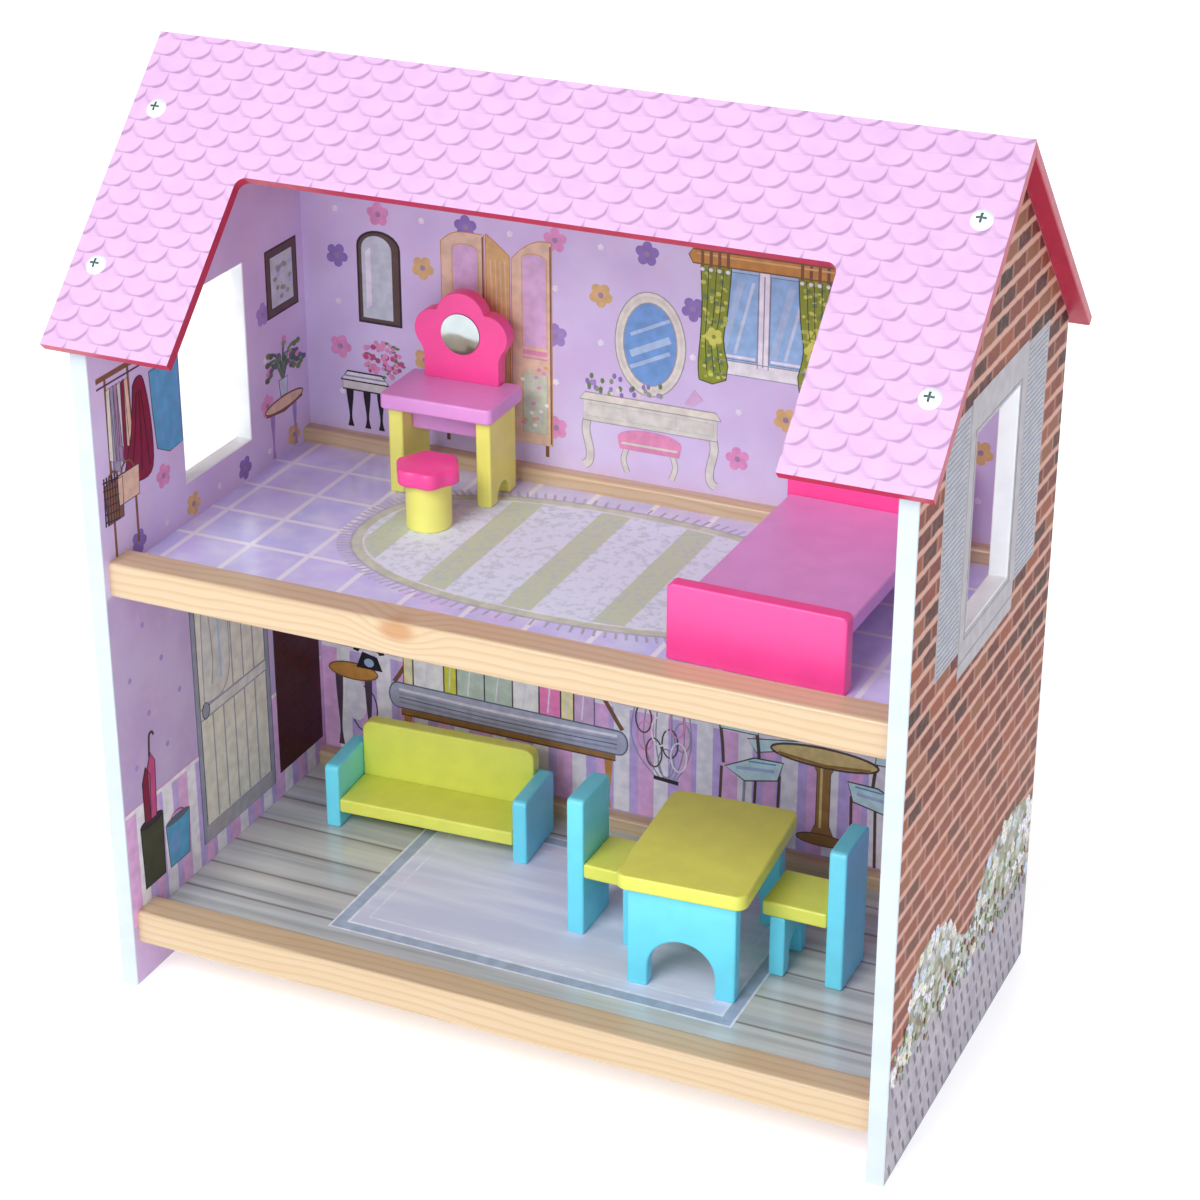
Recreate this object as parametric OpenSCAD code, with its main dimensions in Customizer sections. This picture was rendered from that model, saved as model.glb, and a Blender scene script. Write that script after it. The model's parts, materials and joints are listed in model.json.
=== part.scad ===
// Two-storey open-front wooden doll's house with its loose furniture.
// Millimetres. +Z is up and the open front faces -Y. The origin is on the ground, midway
// between the side walls and under the ridge.

/* [House shell] */
// Width over the outer faces of the two side walls
house_w = 405; // [385:1:425]
// Depth of a side wall, front edge to back edge
wall_depth = 212; // [208:1:216]
// Thickness of a side wall
wall_t = 9; // [8:0.5:10]
// Height of the ridge above the ground
ridge_z = 460; // [455:1:480]
// Length of each roof slope, ridge to eave
slope_len = 163.5; // [160:0.5:166]
// How far the roof stands past each side wall
roof_overhang = 8.5; // [6:0.5:12]
// Thickness of a roof board
roof_t = 5; // [4:0.5:6]
// Width of the opening cut in the front roof board
roof_gap_w = 288; // [260:1:300]
// Distance down the slope from the ridge to the top of that opening
roof_gap_drop = 68; // [60:1:76]
// Width of the window in each side wall
window_w = 61; // [40:1:80]
// Height of the window
window_h = 93; // [60:1:96]
// Height of the window sill above the ground
sill_z = 246; // [240:1:252]

/* [Floors and rails] */
// Side of the square pine rails at the front and back of each floor
rail = 18; // [17:0.5:19]
// Ground to the underside of the lower rails
lower_rail_z = 23; // [18:1:26]
// Ground to the underside of the upper rails
upper_rail_z = 215; // [211:1:217]
// Front rail, back from the front edge of the side walls
front_inset = 4.5; // [3:0.5:6]
// Back rail, in from the back edge of the side walls
back_inset = 6; // [4:0.5:7]
// Thickness of the printed floor and back panels
panel_t = 3; // [2.5:0.5:3.5]
// Depth of the grooves that hold those panels
groove = 5; // [4:0.5:5.5]
// Rounding along the rails' long edges
rail_edge = 2; // [1:0.5:3]

/* [Screws and dowels] */
// Diameter of the domed roof screw heads
screw_head_d = 10; // [8:0.5:11]
// Height of the dome
screw_head_h = 2.2; // [1.6:0.1:2.6]
// Diameter of the screw's shank
screw_d = 3.2; // [2.8:0.1:3.6]
// Length of the shank
screw_len = 22; // [16:1:26]
// Distances down the slope from the ridge to the screws
screw_drops = [39.5, 121];
// Diameter of the wooden dowels between rails and walls
dowel_d = 6; // [5:0.5:6]
// Length of a dowel
dowel_len = 16; // [14:1:20]
// How deep a dowel sits in the wall
dowel_in_wall = 6; // [5:0.5:7]

/* [Furniture boards] */
// Thickness of all the furniture boards
board = 8; // [7:0.5:8.5]
// Rounding of ordinary board corners
corner = 3; // [1:0.5:4]

/* [Vanity and stool] */
// Size of the vanity's top, left to right and front to back
vanity_top_size = [61, 39];
// Height of the vanity's top surface above the floor
vanity_h = 54; // [48:1:60]
// Depth of its leg panels, front to back
vanity_leg_d = 30; // [26:1:34]
// Width over its leg panels
vanity_leg_span = 56; // [52:1:58]
// Height of the board between the legs
apron_h = 14; // [10:1:18]
// Diameter of the round mirror
mirror_d = 21; // [18:0.2:24]
// Height of the mirror's centre above the vanity top
mirror_z = 24.8; // [22:0.2:26]
// Diameter of the stool's base
stool_base_d = 22.6; // [20:0.2:24]
// Height of the stool
stool_h = 33; // [30:1:38]
// Thickness of the stool's seat
stool_seat_t = 8.5; // [7:0.5:10]

/* [Bed] */
// Width of the footboard
footboard_w = 85; // [78:1:90]
// Width of the headboard
headboard_w = 79; // [76:1:90]
// Length over the headboard and footboard
bed_len = 141.5; // [136:0.5:146]
// Height of the footboard
footboard_h = 37.5; // [34:0.5:42]
// Height of the headboard
headboard_h = 60; // [50:1:66]
// Width of the platform
platform_w = 76; // [70:1:78]
// Height of the platform's top surface above the floor
platform_h = 28.5; // [24:0.5:30]

/* [Sofa] */
// Length over the arms
sofa_len = 114.6; // [104:0.2:120]
// Depth, front to back
sofa_d = 38.5; // [34:0.5:42]
// Height of the arms
arm_h = 36.5; // [32:0.5:42]
// Height of the back rest's top edge above the floor
sofa_back_h = 49.5; // [44:0.5:56]
// Height of the sofa seat above the floor
sofa_seat_h = 17.5; // [16:0.5:22]

/* [Table and chairs] */
// Size of the table top, across and front to back
table_top_size = [65.5, 88];
// Height of the table
table_h = 62; // [58:1:66]
// Width of its leg panels
table_leg_w = 54.7; // [50:0.1:58]
// Width of the arch in a table leg panel
table_arch_w = 34; // [28:1:36]
// Height of that arch
table_arch_h = 28; // [22:1:34]
// Width of a chair
chair_w = 32; // [28:1:34]
// Height of a chair's back
chair_h = 76; // [68:1:80]
// Thickness of a chair's back
chair_back_t = 9; // [8:0.5:10]
// Height of a chair's seat
chair_seat_h = 41; // [38:1:44]
// Depth of a chair's seat, in front of its back
chair_seat_d = 33; // [28:1:34]

/* [Places in the rooms] */
// Middle of each piece of furniture, left to right and front to back
vanity_at = [-93.5, 58];
stool_at = [-84.4, 14.3];
bed_at = [121.6, -1.25];
sofa_at = [-100.2, 46.3];
table_at = [74, -6];
// Outer face of the left chair's back, and the middle of that chair
left_chair_at = [4, -2.5];
right_chair_at = [147, 3];
// How far the vanity is turned
vanity_turn = 1; // [-6:1:6]
// How far the bed is turned
bed_turn = -1; // [-6:1:6]
// How far the sofa is turned
sofa_turn = 3.5; // [-6:0.5:6]
// How far the table is turned
table_turn = 4; // [-6:1:6]

/* [Hidden] */
$fn = 48;
past = 1;                                     // cutters run this far past a face

inner_w = house_w - 2 * wall_t;
wall_x = (house_w - wall_t) / 2;              // middle of a side wall's thickness
roof_w = house_w + 2 * roof_overhang;
roof_t_vert = roof_t * sqrt(2);               // roof board measured straight down
wall_peak_z = ridge_z - roof_t_vert;
wall_eave_z = wall_peak_z - wall_depth / 2;
roof_gap_r = 5;

front_rail_y = -wall_depth / 2 + front_inset; // front face of the front rails
back_rail_y = wall_depth / 2 - back_inset - rail;
back_panel_y = back_rail_y + (rail - panel_t) / 2;
upper_floor_z = upper_rail_z + (rail + panel_t) / 2;
lower_floor_z = lower_rail_z + (rail + panel_t) / 2;
floor_front_y = front_rail_y + rail - groove;
floor_back_y = back_rail_y + groove;
back_panel_gap = 0.8;                         // top of the back panel to the roof

hole_play = 0.05;                             // radial room round screws and dowels
roof_hole_play = 0.2;
front_dowel_y = front_rail_y + rail / 2;
back_dowel_y = back_rail_y + rail / 2 + 1;

mirror_t = 1.2;
mirror_recess = 0.8;
neck_bite = 0.15;                             // neck fillets cross the arcs by this
vanity_arch = [13, 9];
chair_arch = [16, 18];
table_overhang = 4;                           // table top past the front leg panel
leg_setback = 4;                              // chair leg, back from the seat's edge
apron_setback = 10;
seat_lobes = 6;
seat_lobe_d = 13;
seat_lobe_ring = 10;                          // centres of the lobes, from the axis

// ---- Helpers -------------------------------------------------------------

// Rectangle centred on the origin with four round corners
module round_rect(w, h, r) {
    square([w - 2 * r, h], center = true);
    square([w, h - 2 * r], center = true);
    for (x = [-1, 1], y = [-1, 1])
        translate([x * (w / 2 - r), y * (h / 2 - r)]) circle(r);
}

// Upright rectangle standing on y = 0 with its top corners rounded
module round_top(w, h, r) {
    translate([-w / 2, 0]) square([w, h - r]);
    translate([-w / 2 + r, 0]) square([w - 2 * r, h]);
    for (x = [-1, 1]) translate([x * (w / 2 - r), h - r]) circle(r);
}

// Round-headed arch standing on y = 0, run a little below it
module arch(w, h) {
    translate([-w / 2, -past]) square([w, h - w / 2 + past]);
    translate([0, h - w / 2]) circle(w / 2);
}

// Extrudes an outline drawn in Y and Z along +X
module along_x(len) {
    rotate([90, 0, 90]) linear_extrude(len) children();
}

// Extrudes an outline drawn in X and Z along +Y
module along_y(len) {
    translate([0, len, 0]) rotate([90, 0, 0]) linear_extrude(len) children();
}

// Places the front slope's own frame: x along the ridge, -y down the slope, z outwards
module on_front_slope() {
    translate([0, 0, ridge_z]) rotate([45, 0, 0]) children();
}

module on_back_slope() {
    mirror([0, 1, 0]) on_front_slope() children();
}

// ---- Shell ---------------------------------------------------------------

// One side wall with its inner face at x = 0 and its thickness along +X
module wall_blank() {
    along_x(wall_t) difference() {
        polygon([
            [-wall_depth / 2, 0], [wall_depth / 2, 0],
            [wall_depth / 2, wall_eave_z], [0, wall_peak_z],
            [-wall_depth / 2, wall_eave_z]
        ]);
        translate([-window_w / 2, sill_z]) square([window_w, window_h]);
    }
}

module screw_positions() {
    for (x = [-wall_x, wall_x], drop = screw_drops)
        translate([x, -drop, 0]) children();
}

// Bores for the roof screws, both slopes
module screw_bores(r) {
    depth = screw_len + past;
    on_front_slope() screw_positions()
        translate([0, 0, -depth]) cylinder(h = depth + past, r = r);
    on_back_slope() screw_positions()
        translate([0, 0, -depth]) cylinder(h = depth + past, r = r);
}

// Dowels at the ends of the four rails; side is -1 for left and 1 for right
module rail_dowels(side, r, len) {
    start = inner_w / 2 + dowel_in_wall;
    for (y = [front_dowel_y, back_dowel_y], z = [lower_rail_z, upper_rail_z])
        translate([side * start, y, z + rail / 2])
            rotate([0, -90 * side, 0]) cylinder(h = len, r = r);
}

module left_wall() {
    color("thistle") difference() {
        translate([-house_w / 2, 0, 0]) wall_blank();
        screw_bores(screw_d / 2 + hole_play);
        rail_dowels(-1, dowel_d / 2 + hole_play, dowel_len);
    }
}

module right_wall() {
    color("rosybrown") difference() {
        translate([inner_w / 2, 0, 0]) wall_blank();
        screw_bores(screw_d / 2 + hole_play);
        rail_dowels(1, dowel_d / 2 + hole_play, dowel_len);
    }
}

// Roof board in section, mitred at the ridge and square at the eave
module roof_section() {
    run = slope_len / sqrt(2);
    t = roof_t / sqrt(2);
    polygon([
        [0, ridge_z], [-run, ridge_z - run],
        [-run + t, ridge_z - run - t], [0, ridge_z - roof_t_vert]
    ]);
}

module roof_front() {
    gap_len = slope_len - roof_gap_drop + past;
    color("plum") difference() {
        translate([-roof_w / 2, 0, 0]) along_x(roof_w) roof_section();
        on_front_slope() translate([0, -slope_len - past, -roof_t - past])
            linear_extrude(roof_t + 2 * past) round_top(roof_gap_w, gap_len, roof_gap_r);
        screw_bores(screw_d / 2 + roof_hole_play);
    }
}

module roof_back() {
    color("plum") difference() {
        mirror([0, 1, 0]) translate([-roof_w / 2, 0, 0]) along_x(roof_w) roof_section();
        screw_bores(screw_d / 2 + roof_hole_play);
    }
}

module roof_screw() {
    slot_w = 1.1;
    slot_len = 4.6;
    slot_depth = 1.2;
    ball = (pow(screw_head_d / 2, 2) + pow(screw_head_h, 2)) / (2 * screw_head_h);
    translate([0, 0, -screw_len]) cylinder(h = screw_len, r = screw_d / 2);
    difference() {
        intersection() {
            cylinder(h = screw_head_h + past, r = screw_head_d / 2);
            translate([0, 0, screw_head_h - ball]) sphere(ball);
        }
        for (a = [0, 90]) rotate(a)
            translate([-slot_len / 2, -slot_w / 2, screw_head_h - slot_depth])
                cube([slot_len, slot_w, slot_depth + past]);
    }
}

module front_roof_screws() {
    color("whitesmoke") on_front_slope() screw_positions() roof_screw();
}

module back_roof_screws() {
    color("whitesmoke") on_back_slope() screw_positions() roof_screw();
}

module left_rail_dowels() {
    color("burlywood") rail_dowels(-1, dowel_d / 2, dowel_len);
}

module right_rail_dowels() {
    color("burlywood") rail_dowels(1, dowel_d / 2, dowel_len);
}

// ---- Floors, rails and back ----------------------------------------------

// Pine rail from wall to wall, its front bottom edge at the given place
module rail_bar(y, z) {
    translate([-inner_w / 2, y + rail / 2, z + rail / 2])
        along_x(inner_w) round_rect(rail, rail, rail_edge);
}

// Slot along the whole width, for a panel edge
module long_slot(y, z, size) {
    translate([-inner_w / 2 - past, y, z]) cube([inner_w + 2 * past, size[0], size[1]]);
}

module front_rail(z) {
    color("wheat") difference() {
        rail_bar(front_rail_y, z);
        long_slot(floor_front_y, z + (rail - panel_t) / 2, [groove + past, panel_t]);
        for (side = [-1, 1]) rail_dowels(side, dowel_d / 2 + hole_play, dowel_len);
    }
}

// The back rails take the floor in front and a back panel above; the upper one takes
// the lower back panel from below as well
module back_rail(z, slot_below) {
    color("burlywood") difference() {
        rail_bar(back_rail_y, z);
        long_slot(back_rail_y - past, z + (rail - panel_t) / 2, [groove + past, panel_t]);
        long_slot(back_panel_y, z + rail - groove, [panel_t, groove + past]);
        if (slot_below) long_slot(back_panel_y, z - past, [panel_t, groove + past]);
        for (side = [-1, 1]) rail_dowels(side, dowel_d / 2 + hole_play, dowel_len);
    }
}

module upper_front_rail() front_rail(upper_rail_z);
module lower_front_rail() front_rail(lower_rail_z);
module upper_back_rail() back_rail(upper_rail_z, true);
module lower_back_rail() back_rail(lower_rail_z, false);

module floor_panel(top_z) {
    translate([-inner_w / 2, floor_front_y, top_z - panel_t])
        cube([inner_w, floor_back_y - floor_front_y, panel_t]);
}

module upper_floor() { color("lavender") floor_panel(upper_floor_z); }
module lower_floor() { color("lightgray") floor_panel(lower_floor_z); }

module back_panel(bottom_z, top_z) {
    translate([-inner_w / 2, back_panel_y, bottom_z])
        cube([inner_w, panel_t, top_z - bottom_z]);
}

module upper_back_panel() {
    top = wall_peak_z - back_panel_y - panel_t - back_panel_gap;
    color("thistle") back_panel(upper_rail_z + rail - groove, top);
}

module lower_back_panel() {
    color("thistle") back_panel(lower_rail_z + rail - groove, upper_rail_z + groove);
}

// ---- Vanity and stool ----------------------------------------------------

module place(at, z, turn) {
    translate([at[0], at[1], z]) rotate(turn) children();
}

module in_vanity() {
    place(vanity_at, upper_floor_z, vanity_turn) children();
}

module vanity_top() {
    color("orchid") in_vanity() translate([0, 0, vanity_h - board])
        linear_extrude(board) round_rect(vanity_top_size[0], vanity_top_size[1], corner);
}

// Leg panel with an arch between its feet; x is its outer or inner left face
module vanity_leg(x) {
    color("khaki") in_vanity() translate([x, 0, 0]) along_x(board) difference() {
        translate([-vanity_leg_d / 2, 0]) square([vanity_leg_d, vanity_h - board]);
        arch(vanity_arch[0], vanity_arch[1]);
    }
}

module vanity_left_leg() vanity_leg(-vanity_leg_span / 2);
module vanity_right_leg() vanity_leg(vanity_leg_span / 2 - board);

module vanity_apron() {
    w = vanity_leg_span - 2 * board;
    color("plum") in_vanity()
        translate([-w / 2, -vanity_leg_d / 2 + apron_setback, vanity_h - board - apron_h])
            cube([w, board, apron_h]);
}

// Point at distance ra from a and rb from b, on the left of the line from a to b
function meeting(a, ra, b, rb) =
    let (
        d = norm(b - a),
        u = (b - a) / d,
        t = (d * d + ra * ra - rb * rb) / (2 * d)
    )
    a + t * u + sqrt(ra * ra - t * t) * [-u[1], u[0]];

// Outline of the mirror board: a foot, two shoulders and a crown, with filleted necks
module mirror_outline() {
    foot_w = 41;
    shoulder_r = 11.2;
    shoulder = [14.2, 25];
    crown_r = 13.4;
    crown = [0, 32.8];
    upper_neck_r = 8;
    lower_neck_r = 14;
    upper_reach = upper_neck_r - neck_bite;
    lower_reach = lower_neck_r - neck_bite;
    upper_neck = meeting(shoulder, shoulder_r + upper_reach, crown, crown_r + upper_reach);
    lower_neck_x = foot_w / 2 + lower_reach;
    lower_neck_z = shoulder[1]
        - sqrt(pow(shoulder_r + lower_reach, 2) - pow(lower_neck_x - shoulder[0], 2));
    translate([-foot_w / 2, 0]) square([foot_w, shoulder[1]]);
    translate(crown) circle(crown_r);
    for (side = [0, 1]) mirror([side, 0]) {
        translate(shoulder) circle(shoulder_r);
        difference() {
            polygon([shoulder, crown, upper_neck]);
            translate(upper_neck) circle(upper_neck_r);
        }
        difference() {
            polygon([
                [foot_w / 2, lower_neck_z], [lower_neck_x, lower_neck_z], shoulder
            ]);
            translate([lower_neck_x, lower_neck_z]) circle(lower_neck_r);
        }
    }
}

module on_mirror_board() {
    in_vanity() translate([0, vanity_top_size[1] / 2 - board, vanity_h]) children();
}

module vanity_mirror_board() {
    color("deeppink") on_mirror_board() difference() {
        along_y(board) mirror_outline();
        translate([0, -past, mirror_z]) rotate([-90, 0, 0])
            cylinder(h = mirror_recess + past, r = mirror_d / 2 + hole_play);
    }
}

module vanity_mirror() {
    color("silver") on_mirror_board()
        translate([0, mirror_recess - mirror_t, mirror_z]) rotate([-90, 0, 0])
            cylinder(h = mirror_t, r = mirror_d / 2);
}

module stool_seat() {
    color("deeppink") place(stool_at, upper_floor_z + stool_h - stool_seat_t, 0)
        linear_extrude(stool_seat_t) {
            circle(seat_lobe_ring + 2);
            for (i = [0 : seat_lobes - 1]) rotate(360 * i / seat_lobes)
                translate([seat_lobe_ring, 0]) circle(d = seat_lobe_d);
        }
}

module stool_base() {
    color("khaki") place(stool_at, upper_floor_z, 0)
        cylinder(h = stool_h - stool_seat_t, d = stool_base_d);
}

// ---- Bed -----------------------------------------------------------------

module in_bed() {
    place(bed_at, upper_floor_z, bed_turn) children();
}

module bed_platform() {
    len = bed_len - 2 * board;
    color("orchid") in_bed()
        translate([-platform_w / 2, -len / 2, platform_h - board]) cube([platform_w, len, board]);
}

module bed_headboard() {
    color("deeppink") in_bed() translate([0, bed_len / 2 - board, 0])
        along_y(board) round_top(headboard_w, headboard_h, 2 * corner);
}

module bed_footboard() {
    color("deeppink") in_bed() translate([0, -bed_len / 2, 0])
        along_y(board) round_top(footboard_w, footboard_h, corner);
}

// ---- Sofa ----------------------------------------------------------------

module in_sofa() {
    place(sofa_at, lower_floor_z, sofa_turn) children();
}

module sofa_arm(x) {
    color("skyblue") in_sofa() translate([x, 0, 0])
        along_x(board) round_top(sofa_d, arm_h, corner);
}

module sofa_left_arm() sofa_arm(-sofa_len / 2);
module sofa_right_arm() sofa_arm(sofa_len / 2 - board);

module sofa_seat() {
    w = sofa_len - 2 * board;
    color("yellowgreen") in_sofa() translate([-w / 2, -sofa_d / 2, sofa_seat_h - board])
        cube([w, sofa_d - board, board]);
}

module sofa_back() {
    w = sofa_len - 2 * board;
    foot = sofa_seat_h - board;
    color("yellowgreen") in_sofa() translate([0, sofa_d / 2 - board, foot])
        along_y(board) round_top(w, sofa_back_h - foot, 2 * corner);
}

// ---- Table and chairs ----------------------------------------------------

module in_table() {
    place(table_at, lower_floor_z, table_turn) children();
}

module table_top() {
    color("yellowgreen") in_table() translate([0, 0, table_h - board])
        linear_extrude(board) round_rect(table_top_size[0], table_top_size[1], 2 * corner);
}

module table_leg(y) {
    color("skyblue") in_table() translate([0, y, 0]) along_y(board) difference() {
        translate([-table_leg_w / 2, 0]) square([table_leg_w, table_h - board]);
        arch(table_arch_w, table_arch_h);
    }
}

module table_front_leg() table_leg(-table_top_size[1] / 2 + table_overhang);
module table_back_leg() table_leg(table_top_size[1] / 2 - table_overhang - board);

// A chair facing +X with the outer face of its back at x = 0
module chair_back() {
    color("skyblue") along_x(chair_back_t) round_top(chair_w, chair_h, corner);
}

module chair_seat() {
    color("yellowgreen") translate([chair_back_t, -chair_w / 2, chair_seat_h - board])
        cube([chair_seat_d, chair_w, board]);
}

module chair_leg() {
    color("skyblue") translate([chair_back_t + chair_seat_d - leg_setback - board, 0, 0])
        along_x(board) difference() {
            translate([-chair_w / 2, 0]) square([chair_w, chair_seat_h - board]);
            arch(chair_arch[0], chair_arch[1]);
        }
}

module left_chair_back() place(left_chair_at, lower_floor_z, 0) chair_back();
module left_chair_seat() place(left_chair_at, lower_floor_z, 0) chair_seat();
module left_chair_leg() place(left_chair_at, lower_floor_z, 0) chair_leg();
module right_chair_back() place(right_chair_at, lower_floor_z, 180) chair_back();
module right_chair_seat() place(right_chair_at, lower_floor_z, 180) chair_seat();
module right_chair_leg() place(right_chair_at, lower_floor_z, 180) chair_leg();

left_wall();
right_wall();
roof_front();
roof_back();
upper_front_rail();
upper_back_rail();
lower_front_rail();
lower_back_rail();
upper_floor();
lower_floor();
upper_back_panel();
lower_back_panel();
front_roof_screws();
back_roof_screws();
left_rail_dowels();
right_rail_dowels();
vanity_top();
vanity_left_leg();
vanity_right_leg();
vanity_apron();
vanity_mirror_board();
vanity_mirror();
stool_seat();
stool_base();
bed_platform();
bed_headboard();
bed_footboard();
sofa_left_arm();
sofa_right_arm();
sofa_seat();
sofa_back();
table_top();
table_front_leg();
table_back_leg();
left_chair_back();
left_chair_seat();
left_chair_leg();
right_chair_back();
right_chair_seat();
right_chair_leg();
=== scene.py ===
"""Looks for the wooden doll's house: rounded boards, paints, pine, and the prints on its boards."""

import json
import math
import random
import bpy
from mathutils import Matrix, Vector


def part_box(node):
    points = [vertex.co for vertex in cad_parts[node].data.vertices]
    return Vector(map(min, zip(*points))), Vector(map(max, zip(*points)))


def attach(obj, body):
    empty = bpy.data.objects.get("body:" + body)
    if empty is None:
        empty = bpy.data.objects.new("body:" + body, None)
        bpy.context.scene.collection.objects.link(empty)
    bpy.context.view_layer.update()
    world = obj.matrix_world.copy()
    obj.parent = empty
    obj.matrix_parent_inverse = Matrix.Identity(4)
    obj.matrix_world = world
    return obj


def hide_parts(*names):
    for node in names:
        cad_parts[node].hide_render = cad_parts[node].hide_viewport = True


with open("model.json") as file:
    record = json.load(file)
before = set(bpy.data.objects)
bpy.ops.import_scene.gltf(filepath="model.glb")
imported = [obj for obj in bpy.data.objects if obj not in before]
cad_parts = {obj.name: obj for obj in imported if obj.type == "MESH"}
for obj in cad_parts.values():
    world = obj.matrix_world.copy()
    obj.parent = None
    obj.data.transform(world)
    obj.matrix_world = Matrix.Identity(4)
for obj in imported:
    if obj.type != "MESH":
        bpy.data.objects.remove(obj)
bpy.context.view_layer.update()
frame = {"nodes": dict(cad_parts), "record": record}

from copy import copy
from itertools import count, cycle, product

import bmesh
import bpy
from mathutils import Vector

MM = 0.001
X, Y, Z = Vector((1, 0, 0)), Vector((0, 1, 0)), Vector((0, 0, 1))
scene = bpy.context.scene


def low(node):
    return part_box(node)[0] / MM


def high(node):
    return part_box(node)[1] / MM


# Places in the frame, in millimetres
RIDGE_Z = high("roof_front").z
WALL_IN = high("left_wall").x
WALL_OUT = low("left_wall").x
WALL_DEPTH = high("left_wall").y
BACK_Y = low("upper_back_panel").y
UPPER_Z = high("upper_floor").z
LOWER_Z = high("lower_floor").z
UPPER_RAIL_TOP = high("upper_back_rail").z
LOWER_RAIL_TOP = high("lower_back_rail").z


# ---- Materials -----------------------------------------------------------


def linear(colour):
    """Scene-linear RGBA for 0-255 display values."""
    def channel(c):
        c /= 255
        return c / 12.92 if c <= 0.04045 else ((c + 0.055) / 1.055) ** 2.4
    return (*map(channel, colour), 1)


def shade(colour, by):
    return tuple(min(255, c * by) for c in colour)


class Value:
    """A number that varies over a surface. Arithmetic on it makes Math nodes."""

    def __init__(self, look, socket):
        self.look, self.socket = look, socket

    def __add__(self, other):
        return self.look.math("ADD", self, other)

    def __sub__(self, other):
        return self.look.math("SUBTRACT", self, other)

    def __rsub__(self, other):
        return self.look.math("SUBTRACT", other, self)

    def __mul__(self, other):
        return self.look.math("MULTIPLY", self, other)

    def __truediv__(self, other):
        return self.look.math("DIVIDE", self, other)

    def __abs__(self):
        return self.look.math("ABSOLUTE", self)

    def whole(self):
        return self.look.math("FLOOR", self)

    def part(self):
        return self.look.math("FRACT", self)

    def off_middle(self):
        """How far the value is from half way between two whole numbers."""
        return abs(self.part() - 0.5)


class Look:
    """A material in the making, with one short call for each kind of node."""

    def __init__(self, name, roughness=0.4, **surface):
        self.material = bpy.data.materials.new(name)
        self.material.use_nodes = True
        self.tree = self.material.node_tree
        self.surface = self.tree.nodes["Principled BSDF"]
        self.surface.inputs["Roughness"].default_value = roughness
        for socket, value in surface.items():
            self.surface.inputs[socket.replace("_", " ")].default_value = value
        place = self.node("TexCoord").outputs["Object"]
        self.place = self.vector("SCALE", place, scale=1 / MM)
        split = self.node("SeparateXYZ", {0: self.place})
        self.x, self.y, self.z = (Value(self, axis) for axis in split.outputs)

    def node(self, kind, inputs=None, **settings):
        made = self.tree.nodes.new("ShaderNode" + kind)
        for key, value in settings.items():
            setattr(made, key, value)
        for key, value in (inputs or {}).items():
            self.feed(made.inputs[key], value)
        return made

    def feed(self, socket, value):
        if isinstance(value, Value):
            value = value.socket
        if isinstance(value, bpy.types.NodeSocket):
            self.tree.links.new(value, socket)
        else:
            socket.default_value = value

    def math(self, operation, *values):
        return Value(self, self.node("Math", dict(enumerate(values)), operation=operation).outputs[0])

    def vector(self, operation, *values, scale=None):
        made = self.node("VectorMath", dict(enumerate(values)), operation=operation)
        if scale is not None:
            made.inputs["Scale"].default_value = scale
        return Value(self, made.outputs["Value"]) if operation == "LENGTH" else made.outputs["Vector"]

    def join(self, x, y=0.0, z=0.0):
        return self.node("CombineXYZ", {0: x, 1: y, 2: z}).outputs[0]

    def stretched(self, x, y, z):
        return self.vector("MULTIPLY", self.place, (x, y, z))

    def noise(self, size, detail=2.0, place=None):
        """Smooth noise from 0 to 1, with features of about this size in millimetres."""
        inputs = {"Vector": place or self.place, "Scale": 1 / size, "Detail": detail}
        return Value(self, self.node("TexNoise", inputs).outputs["Fac"])

    def spread(self, value, start, end, low=0.0, high=1.0):
        inputs = {0: value, 1: start, 2: end, 3: low, 4: high}
        return Value(self, self.node("MapRange", inputs, interpolation_type="SMOOTHSTEP").outputs[0])

    def mix(self, factor, a, b):
        made = self.node("Mix", {0: factor}, data_type="RGBA")
        for index, value in ((6, a), (7, b)):
            self.feed(made.inputs[index], linear(value) if isinstance(value, tuple) else value)
        return made.outputs[2]

    def ramp(self, factor, *stops, constant=False):
        """Colour by factor, from (position, colour) stops."""
        made = self.node("ValToRGB", {0: factor})
        steps = made.color_ramp
        steps.interpolation = "CONSTANT" if constant else "LINEAR"
        while len(steps.elements) < len(stops):
            steps.elements.new(0.5)
        for element, (position, colour) in zip(steps.elements, stops):
            element.position = position
            element.color = linear(colour)
        return made.outputs[0]

    def random(self, *values):
        """A random number for each whole-number place."""
        return Value(self, self.node("TexWhiteNoise", {0: self.join(*values)}).outputs["Value"])

    def facing(self, axis, sign):
        """1 where the surface faces along an axis, and 0 elsewhere."""
        normal = self.node("NewGeometry").outputs["Normal"]
        along = Value(self, self.node("SeparateXYZ", {0: normal}).outputs[axis])
        return self.math("GREATER_THAN", along * sign, 0.9)

    def colour(self, value):
        self.feed(self.surface.inputs["Base Color"], value)

    def rough(self, value):
        self.feed(self.surface.inputs["Roughness"], value)

    def bump(self, height, distance):
        """Raises the surface by up to this distance, in millimetres."""
        inputs = {"Height": height, "Distance": distance * MM, "Strength": 1.0}
        normal = self.node("Bump", inputs).outputs[0]
        self.feed(self.surface.inputs["Normal"], normal)


def paint(name, colour, roughness=0.33):
    """Sprayed satin paint: a trace of orange peel, cloudy coverage and rubbed patches."""
    look = Look(name, roughness, Coat_Weight=0.15, Coat_Roughness=0.25)
    cloud = look.noise(14, 3)
    look.colour(look.mix(look.spread(cloud, 0.3, 0.7), shade(colour, 0.98), shade(colour, 1.01)))
    look.rough(look.spread(look.noise(5, 4), 0.3, 0.75, roughness - 0.03, roughness + 0.05))
    look.bump(look.noise(0.9, 3), 0.03)
    return look.material


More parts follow.
